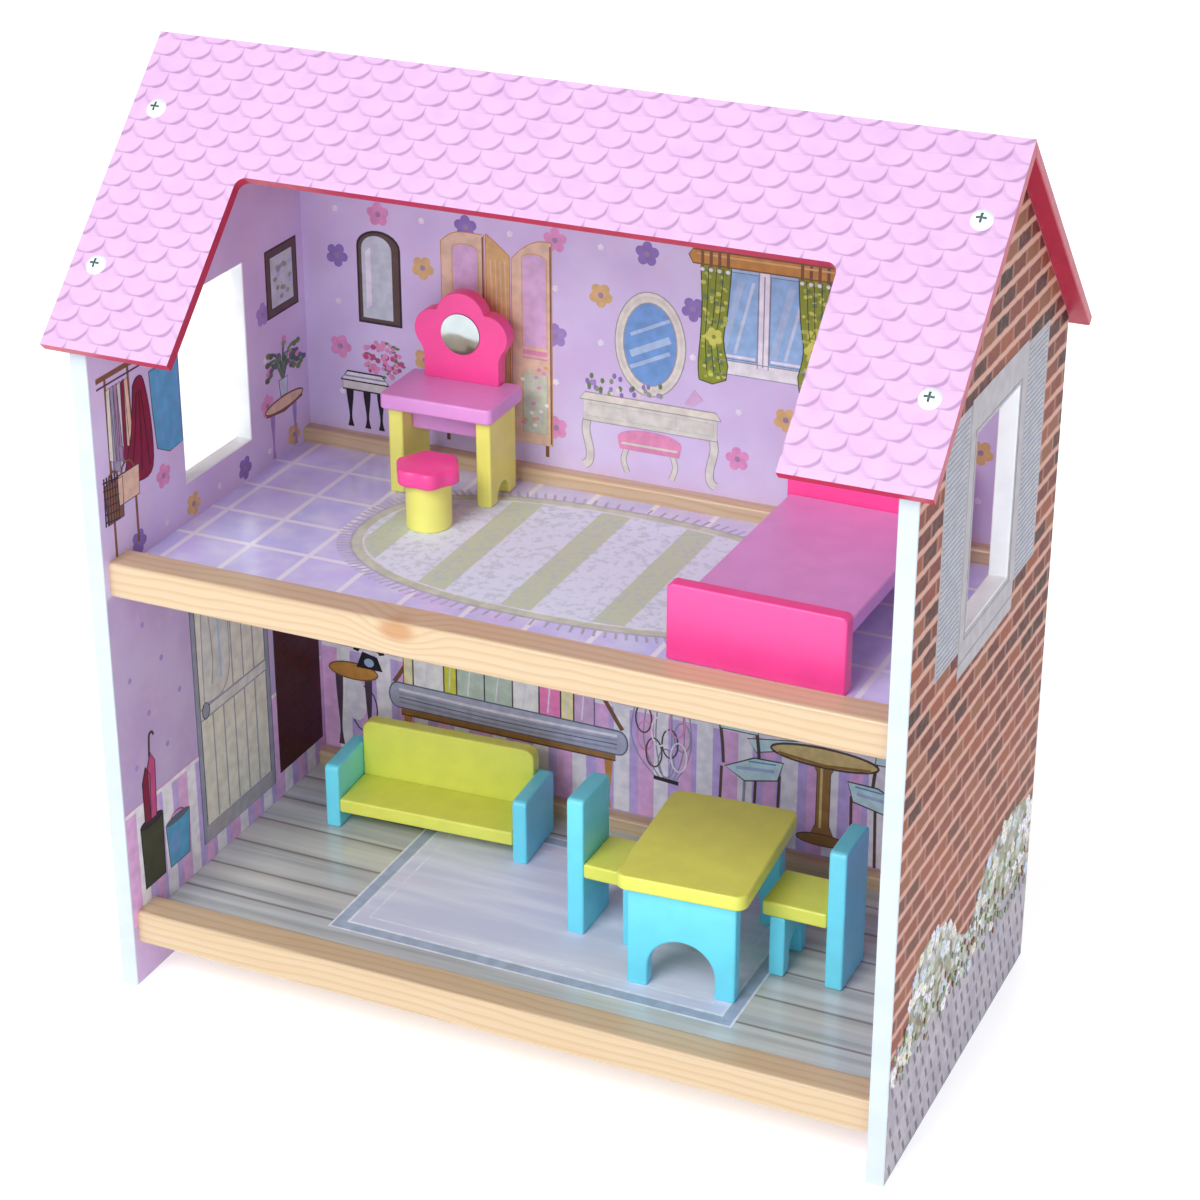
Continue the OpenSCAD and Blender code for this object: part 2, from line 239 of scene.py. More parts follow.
def ink(name, colour, mottle=0.06):
    """Printed colour with the uneven wash of a watercolour original."""
    look = Look("ink_" + name, 0.42, Specular_IOR_Level=0.25)
    wash = look.spread(look.noise(6, 5), 0.3, 0.7)
    look.colour(look.mix(wash, shade(colour, 1 - mottle), shade(colour, 1 + mottle / 2)))
    look.rough(look.spread(look.noise(3, 2), 0.3, 0.7, 0.36, 0.46))
    return look.material


UPPER_LILAC, LOWER_LILAC = (212, 192, 236), (196, 168, 216)
PINE_LIGHT, PINE_DARK = (207, 184, 152), (191, 155, 114)
KNOT = (-41, -101.5, 228.5)  # in the upper front rail
SCREW_DROPS = (39.5, 121.0)  # from the ridge down each roof slope


def slope_places(look):
    """Distance down either roof slope from the ridge, and height above its face."""
    out, rise = abs(look.y), RIDGE_Z - look.z
    return (out + rise) * math.sqrt(0.5), (out - rise) * math.sqrt(0.5)


def shingles():
    """Fish-scale shingles, printed in rows across both slopes and shaded at their lower right."""
    width, pitch, first = 16.7, 8.65, 5.1
    look = Look("roof_shingles", 0.38)
    down, _ = slope_places(look)
    wobble = (look.noise(9, 2) - 0.5) * 1.4
    rows = (down + first + wobble) / pitch
    row = rows.whole()
    columns = look.x / width + row * 0.5 + wobble / width
    across = (columns + 0.35).part() - 0.5
    edge = look.vector("LENGTH", look.join(across * 1.9, rows - row))
    rim = look.spread(edge, 0.86, 1.01) * look.spread(edge, 1.03, 1.2, 1.0, 0.0)
    line = rim * look.spread(across, -0.5, 0.25, 0.22, 0.8)
    cloud = look.mix(look.spread(look.noise(11, 4), 0.35, 0.75), (224, 184, 226), (218, 176, 221))
    look.colour(look.mix(line, cloud, (160, 118, 164)))
    look.bump(look.spread(edge, 0.98, 1.06, 1.0, 0.0), 0.05)
    return look.material


def bricks():
    """Printed brickwork: dark, red and sandy bricks in pale pink mortar, washed out lower down."""
    length, course, joint, base_z = 19.0, 10.15, 2.0, 181.2
    look = Look("brick_print", 0.5, Specular_IOR_Level=0.15)
    wobble = (look.noise(7, 3) - 0.5) * 1.8
    rows = (look.z - base_z + wobble) / course
    row = rows.whole()
    columns = (look.y + wobble) / length + (row * 0.5 + look.random(row) * 0.35)
    mortar = look.math(
        "MAXIMUM",
        look.spread(rows.off_middle(), 0.5 - 1.1 * joint / course, 0.5 - 0.4 * joint / course),
        look.spread(
            columns.off_middle(), 0.5 - 0.9 * joint / length, 0.5 - 0.3 * joint / length, 0.0, 0.35
        ),
    )
    brick = look.ramp(
        look.random(columns.whole(), row, 3.0),
        (0.0, (128, 58, 42)), (0.2, (96, 36, 28)), (0.36, (140, 86, 58)), (0.5, (112, 44, 32)),
        (0.66, (72, 30, 28)), (0.78, (148, 74, 48)), (0.88, (50, 24, 22)), constant=True,
    )
    worn = look.mix(look.spread(look.noise(4, 5), 0.35, 0.85, 0.0, 0.45), brick, (154, 92, 72))
    faded = look.mix(look.spread(look.z, 215, 120, 0.0, 0.4), worn, (160, 100, 82))
    look.colour(look.mix(mortar, faded, (212, 162, 146)))
    look.bump(mortar, -0.03)
    return look.material


def paper_colour(look):
    """Mottled lilac wallpaper, a little deeper in the lower room."""
    wash = look.spread(look.noise(38, 4), 0.3, 0.72)
    upper = look.mix(wash, UPPER_LILAC, (222, 208, 246))
    lower = look.mix(wash, LOWER_LILAC, (206, 184, 226))
    base = look.mix(look.spread(look.z, 214, 216), lower, upper)
    return look.mix(look.spread(look.noise(11, 5), 0.45, 0.8, 0.0, 0.4), base, (226, 192, 226))


def wallpaper():
    look = Look("wallpaper", 0.4, Specular_IOR_Level=0.3)
    look.colour(paper_colour(look))
    look.rough(look.spread(look.noise(3, 2), 0.3, 0.7, 0.34, 0.44))
    return look.material


def tiles():
    """Lilac floor tiles with pale grout, each tile washed a little differently."""
    size, grout, corner_x, corner_y = 32.0, 1.9, -184.0, -42.0
    look = Look("tile_print", 0.22, Coat_Weight=0.5, Coat_Roughness=0.12)
    u, v = (look.x - corner_x) / size, (look.y - corner_y) / size
    thick, thin = 0.5 - grout / size, 0.5 - 0.5 * grout / size
    grid = look.math("MAXIMUM", *(look.spread(place.off_middle(), thick, thin) for place in (u, v)))
    tile = look.ramp(
        look.random(u.whole(), v.whole()),
        (0.0, (202, 202, 255)), (0.35, (214, 204, 255)),
        (0.65, (198, 202, 255)), (1.0, (216, 208, 255)),
    )
    wash = look.mix(look.spread(look.noise(16, 5), 0.35, 0.75), tile, (220, 224, 255))
    return printed_board(look, look.mix(grid, wash, (240, 242, 255)), "Z", 1)


def planks():
    """Weathered grey boards, run left to right."""
    width, seam_y = 24.5, -8.0
    look = Look("plank_print", 0.24, Coat_Weight=0.4, Coat_Roughness=0.15)
    across = (look.y - seam_y) / width
    grain = look.noise(10, 6, look.stretched(0.06, 1.6, 1))
    board = look.ramp(grain, (0.25, (146, 151, 154)), (0.5, (187, 195, 200)), (0.75, (213, 220, 224)))
    tint = look.random((across * 2.0).whole())
    board = look.mix(tint * 0.45, board, (204, 198, 180))
    seam = look.spread(across.off_middle(), 0.44, 0.49, 0.0, 0.8)
    return printed_board(look, look.mix(seam, board, (124, 114, 112)), "Z", 1)


def printed_board(look, print_colour, axis, sign):
    """Hardboard with a print on the side that faces along an axis."""
    back = look.mix(look.noise(1.5, 6), (150, 112, 78), (184, 146, 106))
    look.colour(look.mix(look.facing(axis, sign), back, print_colour))
    return look.material


def papered_panel():
    look = Look("papered_panel", 0.4)
    return printed_board(look, paper_colour(look), "Y", -1)


def pine():
    """Clear-varnished pine with its grain along X, and one knot in the upper front rail."""
    ring_width = 4.6
    look = Look("varnished_pine", 0.34, Coat_Weight=0.3, Coat_Roughness=0.2)
    from_knot = look.vector("SUBTRACT", look.place, KNOT)
    near = look.vector("LENGTH", look.vector("MULTIPLY", from_knot, (0.55, 0.35, 1.0)))
    bend = look.spread(near, 2.0, 16.0, 9.0, 0.0)
    sway = look.noise(60, 3, look.stretched(0.5, 1, 1)) * 14.0
    rings = ((look.y * 0.8 + look.z + sway + bend) / ring_width).part()
    late = look.spread(rings, 0.45, 0.95)
    fibre = look.noise(2.2, 4, look.stretched(0.03, 1, 1))
    wood = look.mix(late * 0.55, PINE_LIGHT, PINE_DARK)
    wood = look.mix(look.spread(fibre, 0.35, 0.75, 0.0, 0.45), wood, (204, 172, 130))
    look.colour(look.mix(look.spread(near, 2.5, 7.0, 0.75, 0.0), wood, (186, 128, 78)))
    look.bump(fibre, 0.04)
    return look.material


def foliage():
    """Pale blossom, grey-green leaves and brown stems, crowded together."""
    look = Look("foliage_print", 0.5, Specular_IOR_Level=0.15)
    cells = look.node("TexVoronoi", {"Vector": look.place, "Scale": 1 / 4.2})
    pick = look.node("SeparateColor", {0: cells.outputs["Color"]}).outputs[0]
    petal = look.ramp(
        pick,
        (0.0, (196, 198, 190)), (0.2, (164, 166, 138)), (0.38, (212, 206, 208)),
        (0.55, (140, 142, 108)), (0.66, (186, 190, 192)), (0.8, (136, 116, 92)),
        (0.88, (214, 214, 208)), constant=True,
    )
    rim = look.spread(cells.outputs["Distance"], 0.3, 0.7, 0.0, 0.45)
    look.colour(look.mix(rim, petal, (126, 120, 108)))
    return look.material


def paving():
    """Grey-lilac paving under the hedge."""
    look = Look("paving_print", 0.5, Specular_IOR_Level=0.15)
    look.colour(look.mix(look.spread(look.noise(9, 5), 0.3, 0.7), (164, 156, 170), (188, 182, 192)))
    return look.material


def silver():
    look = Look("mirror_silver", 0.06, Metallic=1.0)
    look.colour(look.mix(look.noise(8, 2), (176, 186, 190), (202, 210, 212)))
    look.bump(look.noise(14, 1), 0.12)
    return look.material


def screw_coat():
    """White-coated screw heads, with painted shade in the cross of each."""
    look = Look("screw_coat", 0.28, Coat_Weight=0.4)
    down, above = slope_places(look)
    aside = abs(look.x) - abs(WALL_IN + WALL_OUT) / 2
    nearest = look.math("MINIMUM", *(abs(down - drop) for drop in SCREW_DROPS))
    near = look.vector("LENGTH", look.join(aside, nearest))
    # Painted shade: dark teal fills each screw's cross recess, standing in for the shadow inside it.
    cross_painted_shade = look.spread(near, 2.5, 2.3) * look.spread(above, 1.75, 1.55)
    coat = look.mix(look.noise(2, 4), (226, 232, 236), (250, 252, 252))
    look.colour(look.mix(cross_painted_shade, coat, (84, 116, 116)))
    return look.material


def rug_weave(name, pale, dark, sprig):
    """Stripes of two colours with small floral sprigs."""
    period, first_x = 46.0, -14.0
    look = Look(name, 0.6)
    stripe = ((look.x - first_x) / period).part()
    band = look.spread(stripe, 0.0, 0.03) * look.spread(stripe, 0.37, 0.34)
    base = look.mix(band, pale, dark)
    sprigs = look.noise(3.2, 4)
    look.colour(look.mix(look.spread(sprigs, 0.5, 0.62, 0.0, 0.55), base, sprig))
    look.bump(look.noise(0.8, 2), 0.05)
    return look.material


def striped_rug(name, pale, dark):
    """A soft woven rug, streaked from left to right."""
    look = Look(name, 0.55)
    streak = look.spread(look.noise(14, 4, look.stretched(0.12, 1, 1)), 0.35, 0.68)
    blush = look.spread(look.noise(30, 3, look.stretched(0.3, 1, 1)), 0.5, 0.75, 0.0, 0.5)
    look.colour(look.mix(blush, look.mix(streak, dark, pale), (216, 204, 226)))
    look.bump(look.math("SINE", look.y * 7.0) + look.noise(0.8, 2), 0.03)
    return look.material


PAINTS = {
    "paint_orchid": paint("orchid_paint", (224, 154, 220)),
    "paint_yellow": paint("yellow_paint", (240, 236, 120)),
    "paint_pink": paint("hot_pink_paint", (250, 76, 156)),
    "paint_lime": paint("lime_paint", (224, 228, 96)),
    "paint_cyan": paint("cyan_paint", (112, 222, 246)),
}
WHITE_EDGE = paint("white_edge_paint", (200, 211, 222), 0.4)
# Painted light: the reveal's white is a much lighter copy of the edges' white paint, so the reveal that
# the roof shades looks brightly lit.
REVEAL_WHITE_PAINTED_LIGHT = paint("reveal_white_painted_light", (246, 249, 252), 0.4)
CRIMSON_PAINT = paint("crimson_paint", (180, 20, 64), 0.38)
SHINGLES, BRICKS, WALLPAPER, PINE = shingles(), bricks(), wallpaper(), pine()
FOLIAGE, PAVING, SILVER, SCREW_COAT = foliage(), paving(), silver(), screw_coat()
PANEL, TILES, PLANKS = papered_panel(), tiles(), planks()

INK_COLOURS = {
    "umber": (98, 78, 72), "mirror_glass": (204, 212, 222), "fern": (84, 104, 88),
    "honey": (232, 204, 142), "oak": (168, 124, 74), "roll": (186, 188, 214),
    "cushion_cream": (250, 236, 178), "cushion_lime": (228, 228, 80),
    "cushion_sage": (200, 216, 204), "cushion_white": (250, 246, 252),
    "cushion_pink": (255, 140, 200), "line": (84, 66, 84), "dark": (58, 44, 56),
    "black": (44, 36, 46), "white": (240, 238, 244), "cream": (232, 226, 214),
    "ivory": (222, 218, 214), "dot": (240, 234, 252), "violet": (148, 124, 194),
    "mauve": (172, 146, 210), "rose": (228, 152, 202), "ochre": (222, 184, 130),
    "dusk": (168, 138, 178), "pink": (230, 150, 190), "deep_pink": (204, 80, 140),
    "blush": (222, 184, 224), "maroon": (138, 26, 66), "oxblood": (70, 18, 24),
    "tan": (232, 200, 176), "amber": (206, 146, 76), "sand": (222, 182, 126),
    "celadon": (204, 212, 194), "mist": (170, 164, 176), "lime": (214, 214, 104),
    "pane": (156, 194, 236), "brown": (132, 92, 66), "olive": (146, 158, 58),
    "leaf": (110, 136, 88), "moss": (186, 194, 92), "sage": (150, 164, 138), "sky": (120, 164, 222),
    "glass": (178, 202, 236), "pale_blue": (206, 218, 240), "aqua": (96, 172, 216),
    "steel": (104, 112, 132), "grey": (168, 168, 176), "louvre": (179, 174, 182),
    "slate": (160, 160, 182), "bottle": (70, 70, 50), "shutter": (170, 164, 172),
    "surround": (176, 170, 178), "louvre_shadow": (142, 137, 146), "paving_dark": (108, 100, 116),
    "mint": (198, 212, 200), "stripe_pink": (236, 184, 234), "stripe_white": (246, 240, 255),
    "stripe_lilac": (206, 180, 240), "rug_blue": (166, 182, 206), "rug_edge": (226, 232, 246),
    "fringe": (184, 184, 202), "seat_aqua": (212, 240, 248),
}
made_inks = {}


def ink_named(name):
    if name not in made_inks:
        made_inks[name] = ink(name, INK_COLOURS[name])
    return made_inks[name]


# ---- Pieces --------------------------------------------------------------


def add_piece(name, mesh, body, slot, materials, nodes=()):
    mesh_data = bpy.data.meshes.new(name)
    mesh.to_mesh(mesh_data)
    mesh.free()
    piece = bpy.data.objects.new(name, mesh_data)
    scene.collection.objects.link(piece)
    for material in materials:
        mesh_data.materials.append(material)
    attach(piece, body)
    if nodes:
        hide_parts(*nodes)
    return piece


SHARP, CREASED = math.radians(35), math.radians(40)


def soften(mesh, radius, shortest=0.0, segments=3):
    """Rounds the sharp edges of a closed mesh, and smooths what is left nearly flat."""
    sharp = [
        edge for edge in mesh.edges
        if edge.is_manifold and edge.calc_face_angle(0) > SHARP and edge.calc_length() > shortest * MM
    ]
    bmesh.ops.bevel(
        mesh, geom=sharp, offset=radius * MM, offset_type="OFFSET", segments=segments,
        profile=0.5, affect="EDGES", clamp_overlap=True,
    )
    for face in mesh.faces:
        face.smooth = True
    for edge in mesh.edges:
        edge.smooth = not edge.is_manifold or edge.calc_face_angle(0) < CREASED


def rounded_copy(node, body, materials, radius, shortest=0.0, pick=None):
    """A detailed board that stands for a CAD node: the same shape with eased edges."""
    mesh = bmesh.new()
    mesh.from_mesh(frame["nodes"][node].data)
    bmesh.ops.remove_doubles(mesh, verts=mesh.verts, dist=1e-6)
    bmesh.ops.dissolve_limit(mesh, angle_limit=math.radians(0.5), verts=mesh.verts, edges=mesh.edges)
    soften(mesh, radius, shortest)
    if pick:
        for face in mesh.faces:
            face.material_index = pick(face)
    piece = add_piece(node + "_board", mesh, body, SLOT_OF[node], materials, [node])
    even = piece.modifiers.new("even_normals", "WEIGHTED_NORMAL")
    even.keep_sharp = True
    return piece


FLAT = 0.99  # how closely a board's broad face follows its normal
REVEAL_Y, REVEAL_TOP = 50, 350  # the window hole lies within these
EDGE, PAPER, BRICK, REVEAL = range(4)
WALL_LOOKS = [WHITE_EDGE, WALLPAPER, BRICKS, REVEAL_WHITE_PAINTED_LIGHT]
ROOF_LOOKS = [CRIMSON_PAINT, SHINGLES]


def wall_faces(outward):
    """Picks white for edges, a lighter white with painted light for the window's reveal, paper inside
    and brick outside.
    """
    def pick(face):
        if face.normal.x * outward > FLAT:
            return BRICK
        if face.normal.x * outward < -FLAT:
            return PAPER
        place = face.calc_center_median() / MM
        return REVEAL if abs(place.y) < REVEAL_Y and UPPER_Z < place.z < REVEAL_TOP else EDGE
    return pick


def roof_faces(side):
    outward = Vector((0, side, 1)).normalized()
    return lambda face: 1 if face.normal.dot(outward) > FLAT else 0


SLOT_OF = {s["node"]: s["material_slot"] for s in frame["record"]["subparts"]}
BODIES = frame["record"]["behaviour"]["bodies"]

SHELL_EDGE, TOY_EDGE = 0.7, 1.2  # edge radii

for wall, outward in (("left_wall", -1), ("right_wall", 1)):
    rounded_copy(wall, "house", WALL_LOOKS, SHELL_EDGE, shortest=12, pick=wall_faces(outward))
for roof, side in (("roof_front", -1), ("roof_back", 1)):
    rounded_copy(roof, "house", ROOF_LOOKS, SHELL_EDGE, shortest=0.9, pick=roof_faces(side))
for body, members in BODIES.items():
    for node in members:
        if body != "house" and node not in ("vanity_mirror", "stool_seat"):
            rounded_copy(node, body, [PAINTS[SLOT_OF[node]]], TOY_EDGE)


def lobed_seat():
    """The stool's seat: a round board with six soft lobes."""
    lobes, depth, points = 6, 0.95, 96
    lowest, highest = low("stool_seat"), high("stool_seat")
    centre = (lowest + highest) / 2
    radius = (highest.x - lowest.x) / 2 - depth
    mesh = bmesh.new()
    ring = []
    for step in range(points):
        angle = math.tau * step / points
        reach = radius + depth * math.cos(lobes * angle)
        x, y = centre.x + reach * math.cos(angle), centre.y + reach * math.sin(angle)
        ring.append(mesh.verts.new(Vector((x, y, lowest.z)) * MM))
    base = mesh.faces.new(ring)
    top = bmesh.ops.extrude_face_region(mesh, geom=[base])["geom"]
    lift = Z * (highest.z - lowest.z) * MM
    bmesh.ops.translate(mesh, vec=lift, verts=[v for v in top if isinstance(v, bmesh.types.BMVert)])
    bmesh.ops.recalc_face_normals(mesh, faces=mesh.faces)
    soften(mesh, 1.8, segments=4)
    slot = SLOT_OF["stool_seat"]
    add_piece("stool_seat_board", mesh, "stool", slot, [PAINTS[slot]], ["stool_seat"])


lobed_seat()

for node, material in (
    ("upper_front_rail", PINE), ("upper_back_rail", PINE), ("lower_front_rail", PINE),
    ("lower_back_rail", PINE), ("upper_floor", TILES), ("lower_floor", PLANKS),
    ("upper_back_panel", PANEL), ("lower_back_panel", PANEL), ("vanity_mirror", SILVER),
    ("front_roof_screws", SCREW_COAT), ("back_roof_screws", SCREW_COAT),
    ("left_rail_dowels", PINE), ("right_rail_dowels", PINE),
):
    for material_slot in frame["nodes"][node].material_slots:
        material_slot.material = material


# ---- Printed artwork -----------------------------------------------------


def ellipse(u, v, a, b, points=20, start=0.0, end=360.0):
    full = end - start >= 360
    steps = points if full else points - 1
    angles = [math.radians(start + (end - start) * i / steps) for i in range(points)]
    return [(u + a * math.cos(t), v + b * math.sin(t)) for t in angles]


def rect(u0, v0, u1, v1):
    return [(u0, v0), (u1, v0), (u1, v1), (u0, v1)]


def taper(half0, v0, half1, v1, u=0.0):
    """Four corners, symmetrical about u, with these half widths at the bottom and the top."""
    return [(u - half0, v0), (u + half0, v0), (u + half1, v1), (u - half1, v1)]


def arched(u0, v0, u1, v1, rise):
    """A rectangle with a curved top that rises by this much."""
    half = (u1 - u0) / 2
    return [(u0, v0), (u1, v0), *ellipse(u0 + half, v1 - rise, half, rise, 13, 0, 180)]


def curve(points, steps=6):
    """A smooth line through the points."""
    made = []
    ends = [points[0], *points, points[-1]]
    for p0, p1, p2, p3 in zip(ends, ends[1:], ends[2:], ends[3:]):
        for step in range(steps):
            t = step / steps
            made.append(tuple(
                0.5 * (2 * b + (c - a) * t + (2 * a - 5 * b + 4 * c - d) * t * t
                       + (3 * b - a - 3 * c + d) * t ** 3)
                for a, b, c, d in zip(p0, p1, p2, p3)
            ))
    return made + [points[-1]]


def loop(points):
    """A smooth closed outline through the points."""
    return curve([*points, points[0]], 4)[:-1]


def line_sides(points, width, closed):
    """The left and right edges of a line drawn with this width."""
    left, right = [], []
    last = len(points) - 1
    for i, here in enumerate(points):
        before = points[i - 1] if closed or i else here
        after = points[i + 1 if i < last else 0] if closed or i < last else here
        along = Vector((after[0] - before[0], after[1] - before[1]))
        along = along.normalized() if along.length > 1e-9 else Vector((1, 0))
        reach = width / 2
        left.append((here[0] - along.y * reach, here[1] + along.x * reach))
        right.append((here[0] + along.y * reach, here[1] - along.x * reach))
    return left, right


class Print:
    """Ink laid on a board. u and v are millimetres along two axes of the board's face."""

    LAYER = 0.04  # thickness of one level of ink
    STAGGER = 0.618034  # the golden ratio's fraction, which spreads the plates' heights evenly

    def __init__(self, name, slot, origin, u_axis, v_axis):
        self.name, self.slot = name, slot
        self.origin, self.u_axis, self.v_axis = origin, u_axis, v_axis
        self.normal = u_axis.cross(v_axis)
        self.mesh = bmesh.new()
        self.materials = []
        self.plates = count()

    def at(self, u, v):
        """The same print, with its points counted from this place."""
        moved = copy(self)
        moved.origin = self.origin + self.u_axis * u + self.v_axis * v
        return moved

    def index(self, name):
        material = SPECIAL_INKS.get(name) or ink_named(name)
        if material not in self.materials:
            self.materials.append(material)
        return self.materials.index(material)

    def vertex(self, point, height):
        place = self.origin + self.u_axis * point[0] + self.v_axis * point[1] + self.normal * height
        return self.mesh.verts.new(place * MM)

    def face(self, corners, material):
        made = self.mesh.faces.new(corners)
        made.material_index = material

    def plate(self, loops, name, level):
        """A thin plate: one loop is filled, and two are joined as a band.

        Plates on one level differ a little in height, so that where they overlap one is on top.
        """
        material = self.index(name)
        height = self.LAYER * (level + 1 + 0.8 * (next(self.plates) * self.STAGGER % 1))
        tops = [[self.vertex(p, height) for p in loop] for loop in loops]
        feet = [[self.vertex(p, -self.LAYER) for p in loop] for loop in loops]
        corners = len(loops[0])
        pairs = [(i, (i + 1) % corners) for i in range(corners)]
        if len(loops) == 1:
            self.face(tops[0], material)
            self.face(feet[0][::-1], material)
        for i, j in pairs:
            self.face([feet[0][i], feet[0][j], tops[0][j], tops[0][i]], material)
            if len(loops) == 2:
                self.face([tops[0][i], tops[0][j], tops[1][j], tops[1][i]], material)
                self.face([feet[1][i], feet[1][j], feet[0][j], feet[0][i]], material)
                self.face([feet[1][j], feet[1][i], tops[1][i], tops[1][j]], material)

    def fill(self, points, name, level=0, outline=None, width=0.7):
        area = sum(a[0] * b[1] - b[0] * a[1] for a, b in zip(points, points[1:] + points[:1]))
        points = points if area > 0 else points[::-1]
        self.plate([points], name, level)
        if outline:
            self.line(points, outline, level + 1, width, closed=True)

    def line(self, points, name, level=1, width=0.7, closed=False):
        left, right = line_sides(points, width, closed)
        if closed:
            self.plate([right, left], name, level)
        else:
            self.fill(right + left[::-1], name, level)

    def finish(self):
        add_piece(self.name, self.mesh, "house", self.slot, self.materials)


SPECIAL_INKS = {
    "foliage": FOLIAGE, "paving": PAVING,
    "blue_rug": striped_rug("blue_rug_weave", (226, 232, 250), (204, 210, 236)),
    "oval_rug": rug_weave("oval_rug_weave", (226, 236, 255), (200, 214, 188), (184, 202, 214)),
}


def flower(paper, u, v, radius, name, heart=None, level=0):
    """A flat five-petalled flower, turned by its place on the board."""
    petals, turn = 5, u * 0.13 + v * 0.07
    shape = []
    for step in range(8 * petals):
        angle = math.tau * step / (8 * petals)
        reach = radius * (0.62 + 0.38 * abs(math.cos(petals * angle / 2 + turn)) ** 0.6)
        shape.append((u + reach * math.cos(angle), v + reach * math.sin(angle)))
    paper.fill(shape, name, level)
    if heart:
        paper.fill(ellipse(u, v, radius * 0.24, radius * 0.24, 8), heart, level + 1)


def flower_field(paper, u_range, v_range, first, clear):
    """The wallpaper's lattice of flowers and dots, left out over the furniture drawn on it."""
    across, up = 49.0, 24.6
    row_inks = (("rose", "violet"), ("ochre", "rose"), ("mauve", "ochre"), ("ochre", "violet"))
    for row, column in product(range(9), range(-6, 7)):
        v = first[1] + up * row
        for du, size in ((0, 6.4), (across / 2, 1.8)):
            u = first[0] + across * (column + row % 2 / 2) + du
            inside = u_range[0] <= u <= u_range[1] and v_range[0] <= v <= v_range[1]
            if not inside or any(a <= u <= c and b <= v <= d for a, b, c, d in clear):
                continue
            if size > 2:
                flower(paper, u, v, size, row_inks[row % 4][column % 2], "dusk")
            else:
                flower(paper, u, v, size, "dot")


def stripes(paper, u0, u1, v0, v1):
    """Wallpaper stripes below a pale dado line."""
    widths = (
        ("stripe_pink", 9), ("stripe_white", 8), ("stripe_lilac", 6), ("stripe_pink", 7),
        ("stripe_lilac", 3), ("stripe_white", 9), ("stripe_lilac", 5),
    )
    u = u0
    for name, width in cycle(widths):
        if u >= u1:
            break
        paper.fill(rect(u, v0, min(u + width, u1), v1), name, 0)
        u += width
    paper.fill(rect(u0, v1, u1, v1 + 2.2), "stripe_white", 0)
    paper.line([(u0, v1 + 2.6), (u1, v1 + 2.6)], "rose", 1, 0.6)


DOT = (1.6, 1.6, 9)  # half width, half height and corners


def dots(u0, columns, v0, up):
    """Places of the lower room's wallpaper dots, in four staggered rows."""
    across = 28
    for row, column in product(range(4), range(columns)):
        yield u0 + across * column + across / 2 * (row % 2), v0 + up * row


def scatter(paper, rng, spots, place, size, inks, level, corners=7):
    """Small spots at places drawn by chance, each in one of these inks."""
    for _ in range(spots):
        paper.fill(ellipse(*place(), *size, corners), rng.choice(inks), level)


def bouquet(paper, radius, seed, blossom=("pink", "deep_pink", "rose")):
    rng = random.Random(seed)
    for _ in range(26):
        angle, reach = rng.uniform(0, math.tau), radius * math.sqrt(rng.random()) * 1.1
        spot = (reach * math.cos(angle), reach * math.sin(angle) * 0.85)
        paper.fill(ellipse(*spot, 1.5, 0.8, 8), "leaf", 1)
    for _ in range(60):
        angle, reach = rng.uniform(0, math.tau), radius * math.sqrt(rng.random())
        spot = (reach * math.cos(angle), reach * math.sin(angle) * 0.85)
        size = rng.uniform(0.9, 1.7)
        paper.fill(ellipse(*spot, size, size, 8), rng.choice(blossom), rng.choice((2, 3)))


def turned_leg(paper, u, top, name):
    """A table leg that swells at the knee and narrows to its foot."""
    left = curve([(u - 2.4, top), (u - 1.9, 0.7 * top), (u - 0.7, 0.25 * top), (u - 1.8, 0)], 4)
    right = [(2 * u - at, up) for at, up in left[::-1]]
    paper.fill(left + right, name, 1)


def wall_mirror(paper, wide, tall):
    paper.fill(arched(0, 0, wide, tall, 9), "dark", 1)
    paper.fill(arched(1.2, 1.2, wide - 1.2, tall - 1.2, 8), "umber", 2)
    paper.fill(arched(2.8, 3, wide - 5, tall - 2.8, 7.5), "mirror_glass", 3)
    paper.fill([(5, 8), (8, 10), (8, tall - 9), (5, tall - 12)], "dot", 4)


def side_table(paper, top):
    for side in (-9, 1, 9):
        turned_leg(paper, side, top - 5, "black")
    paper.fill(rect(-13, top - 8, 13, top - 3), "ivory", 2, "dark", 0.8)
    paper.fill(taper(14, top - 3, 10, top + 2), "white", 3, "dark", 0.8)
    paper.line([(-12, top - 0.6), (12, top - 0.6)], "slate", 4, 0.9)


def folding_screen(paper, top):
    """Three hinged wooden leaves with swept tops: pink paper above, flowers below."""
    leaves = (
        (0, 24, [(24, -1), (11, -1), (5, -3), (0, -7)]),
        (25, 38, [(13, -10), (7, -5), (0, 0)]),
        (39, 61, [(22, 0), (14, -0.5), (6, -5), (0, -11)]),
    )
    for leaf, (left, right, sweep) in enumerate(leaves):
        middle_leaf = leaf == 1
        board = [(left, 2), (right, 2), *curve([(left + du, top + dv) for du, dv in sweep])]
        paper.fill(board, "sand" if middle_leaf else "tan", 1, "amber", 0.4)
        if middle_leaf:
            for k in range(4):
                at = left + 2.6 + 2.6 * k
                paper.line(curve([(at, 5), (at + 0.8, 50), (at, top - 13)]), "tan", 3, 0.6)
            continue
        near = left + (right - left) * 0.26
        far = right - (right - left) * 0.26 + 3
        paper.fill(arched(near, 54, far, top - 7, 3), "blush", 2, "sand", 0.6)
        paper.fill(rect(near, 8, far, 40), "celadon", 2, "sand", 0.6)
        for v, name, width in ((51, "pink", 2.4), (48, "rose", 0.8)):
            paper.line([(near, v), (far, v)], name, 4, width)
        paper.line([(right - 0.7, 3), (right - 0.7, top - 2)], "brown", 4, 0.7)
        rng = random.Random(leaf)
        scatter(
            paper, rng, 18, lambda: (rng.uniform(left + 3, right - 3), rng.uniform(6, 46)),
            (1.3, 1.0), ("sand", "celadon", "rose", "stripe_white"), 5,
        )
    for at in (2, 31, 58):
        paper.fill(rect(at - 1, -4, at + 1, 3), "brown", 0)


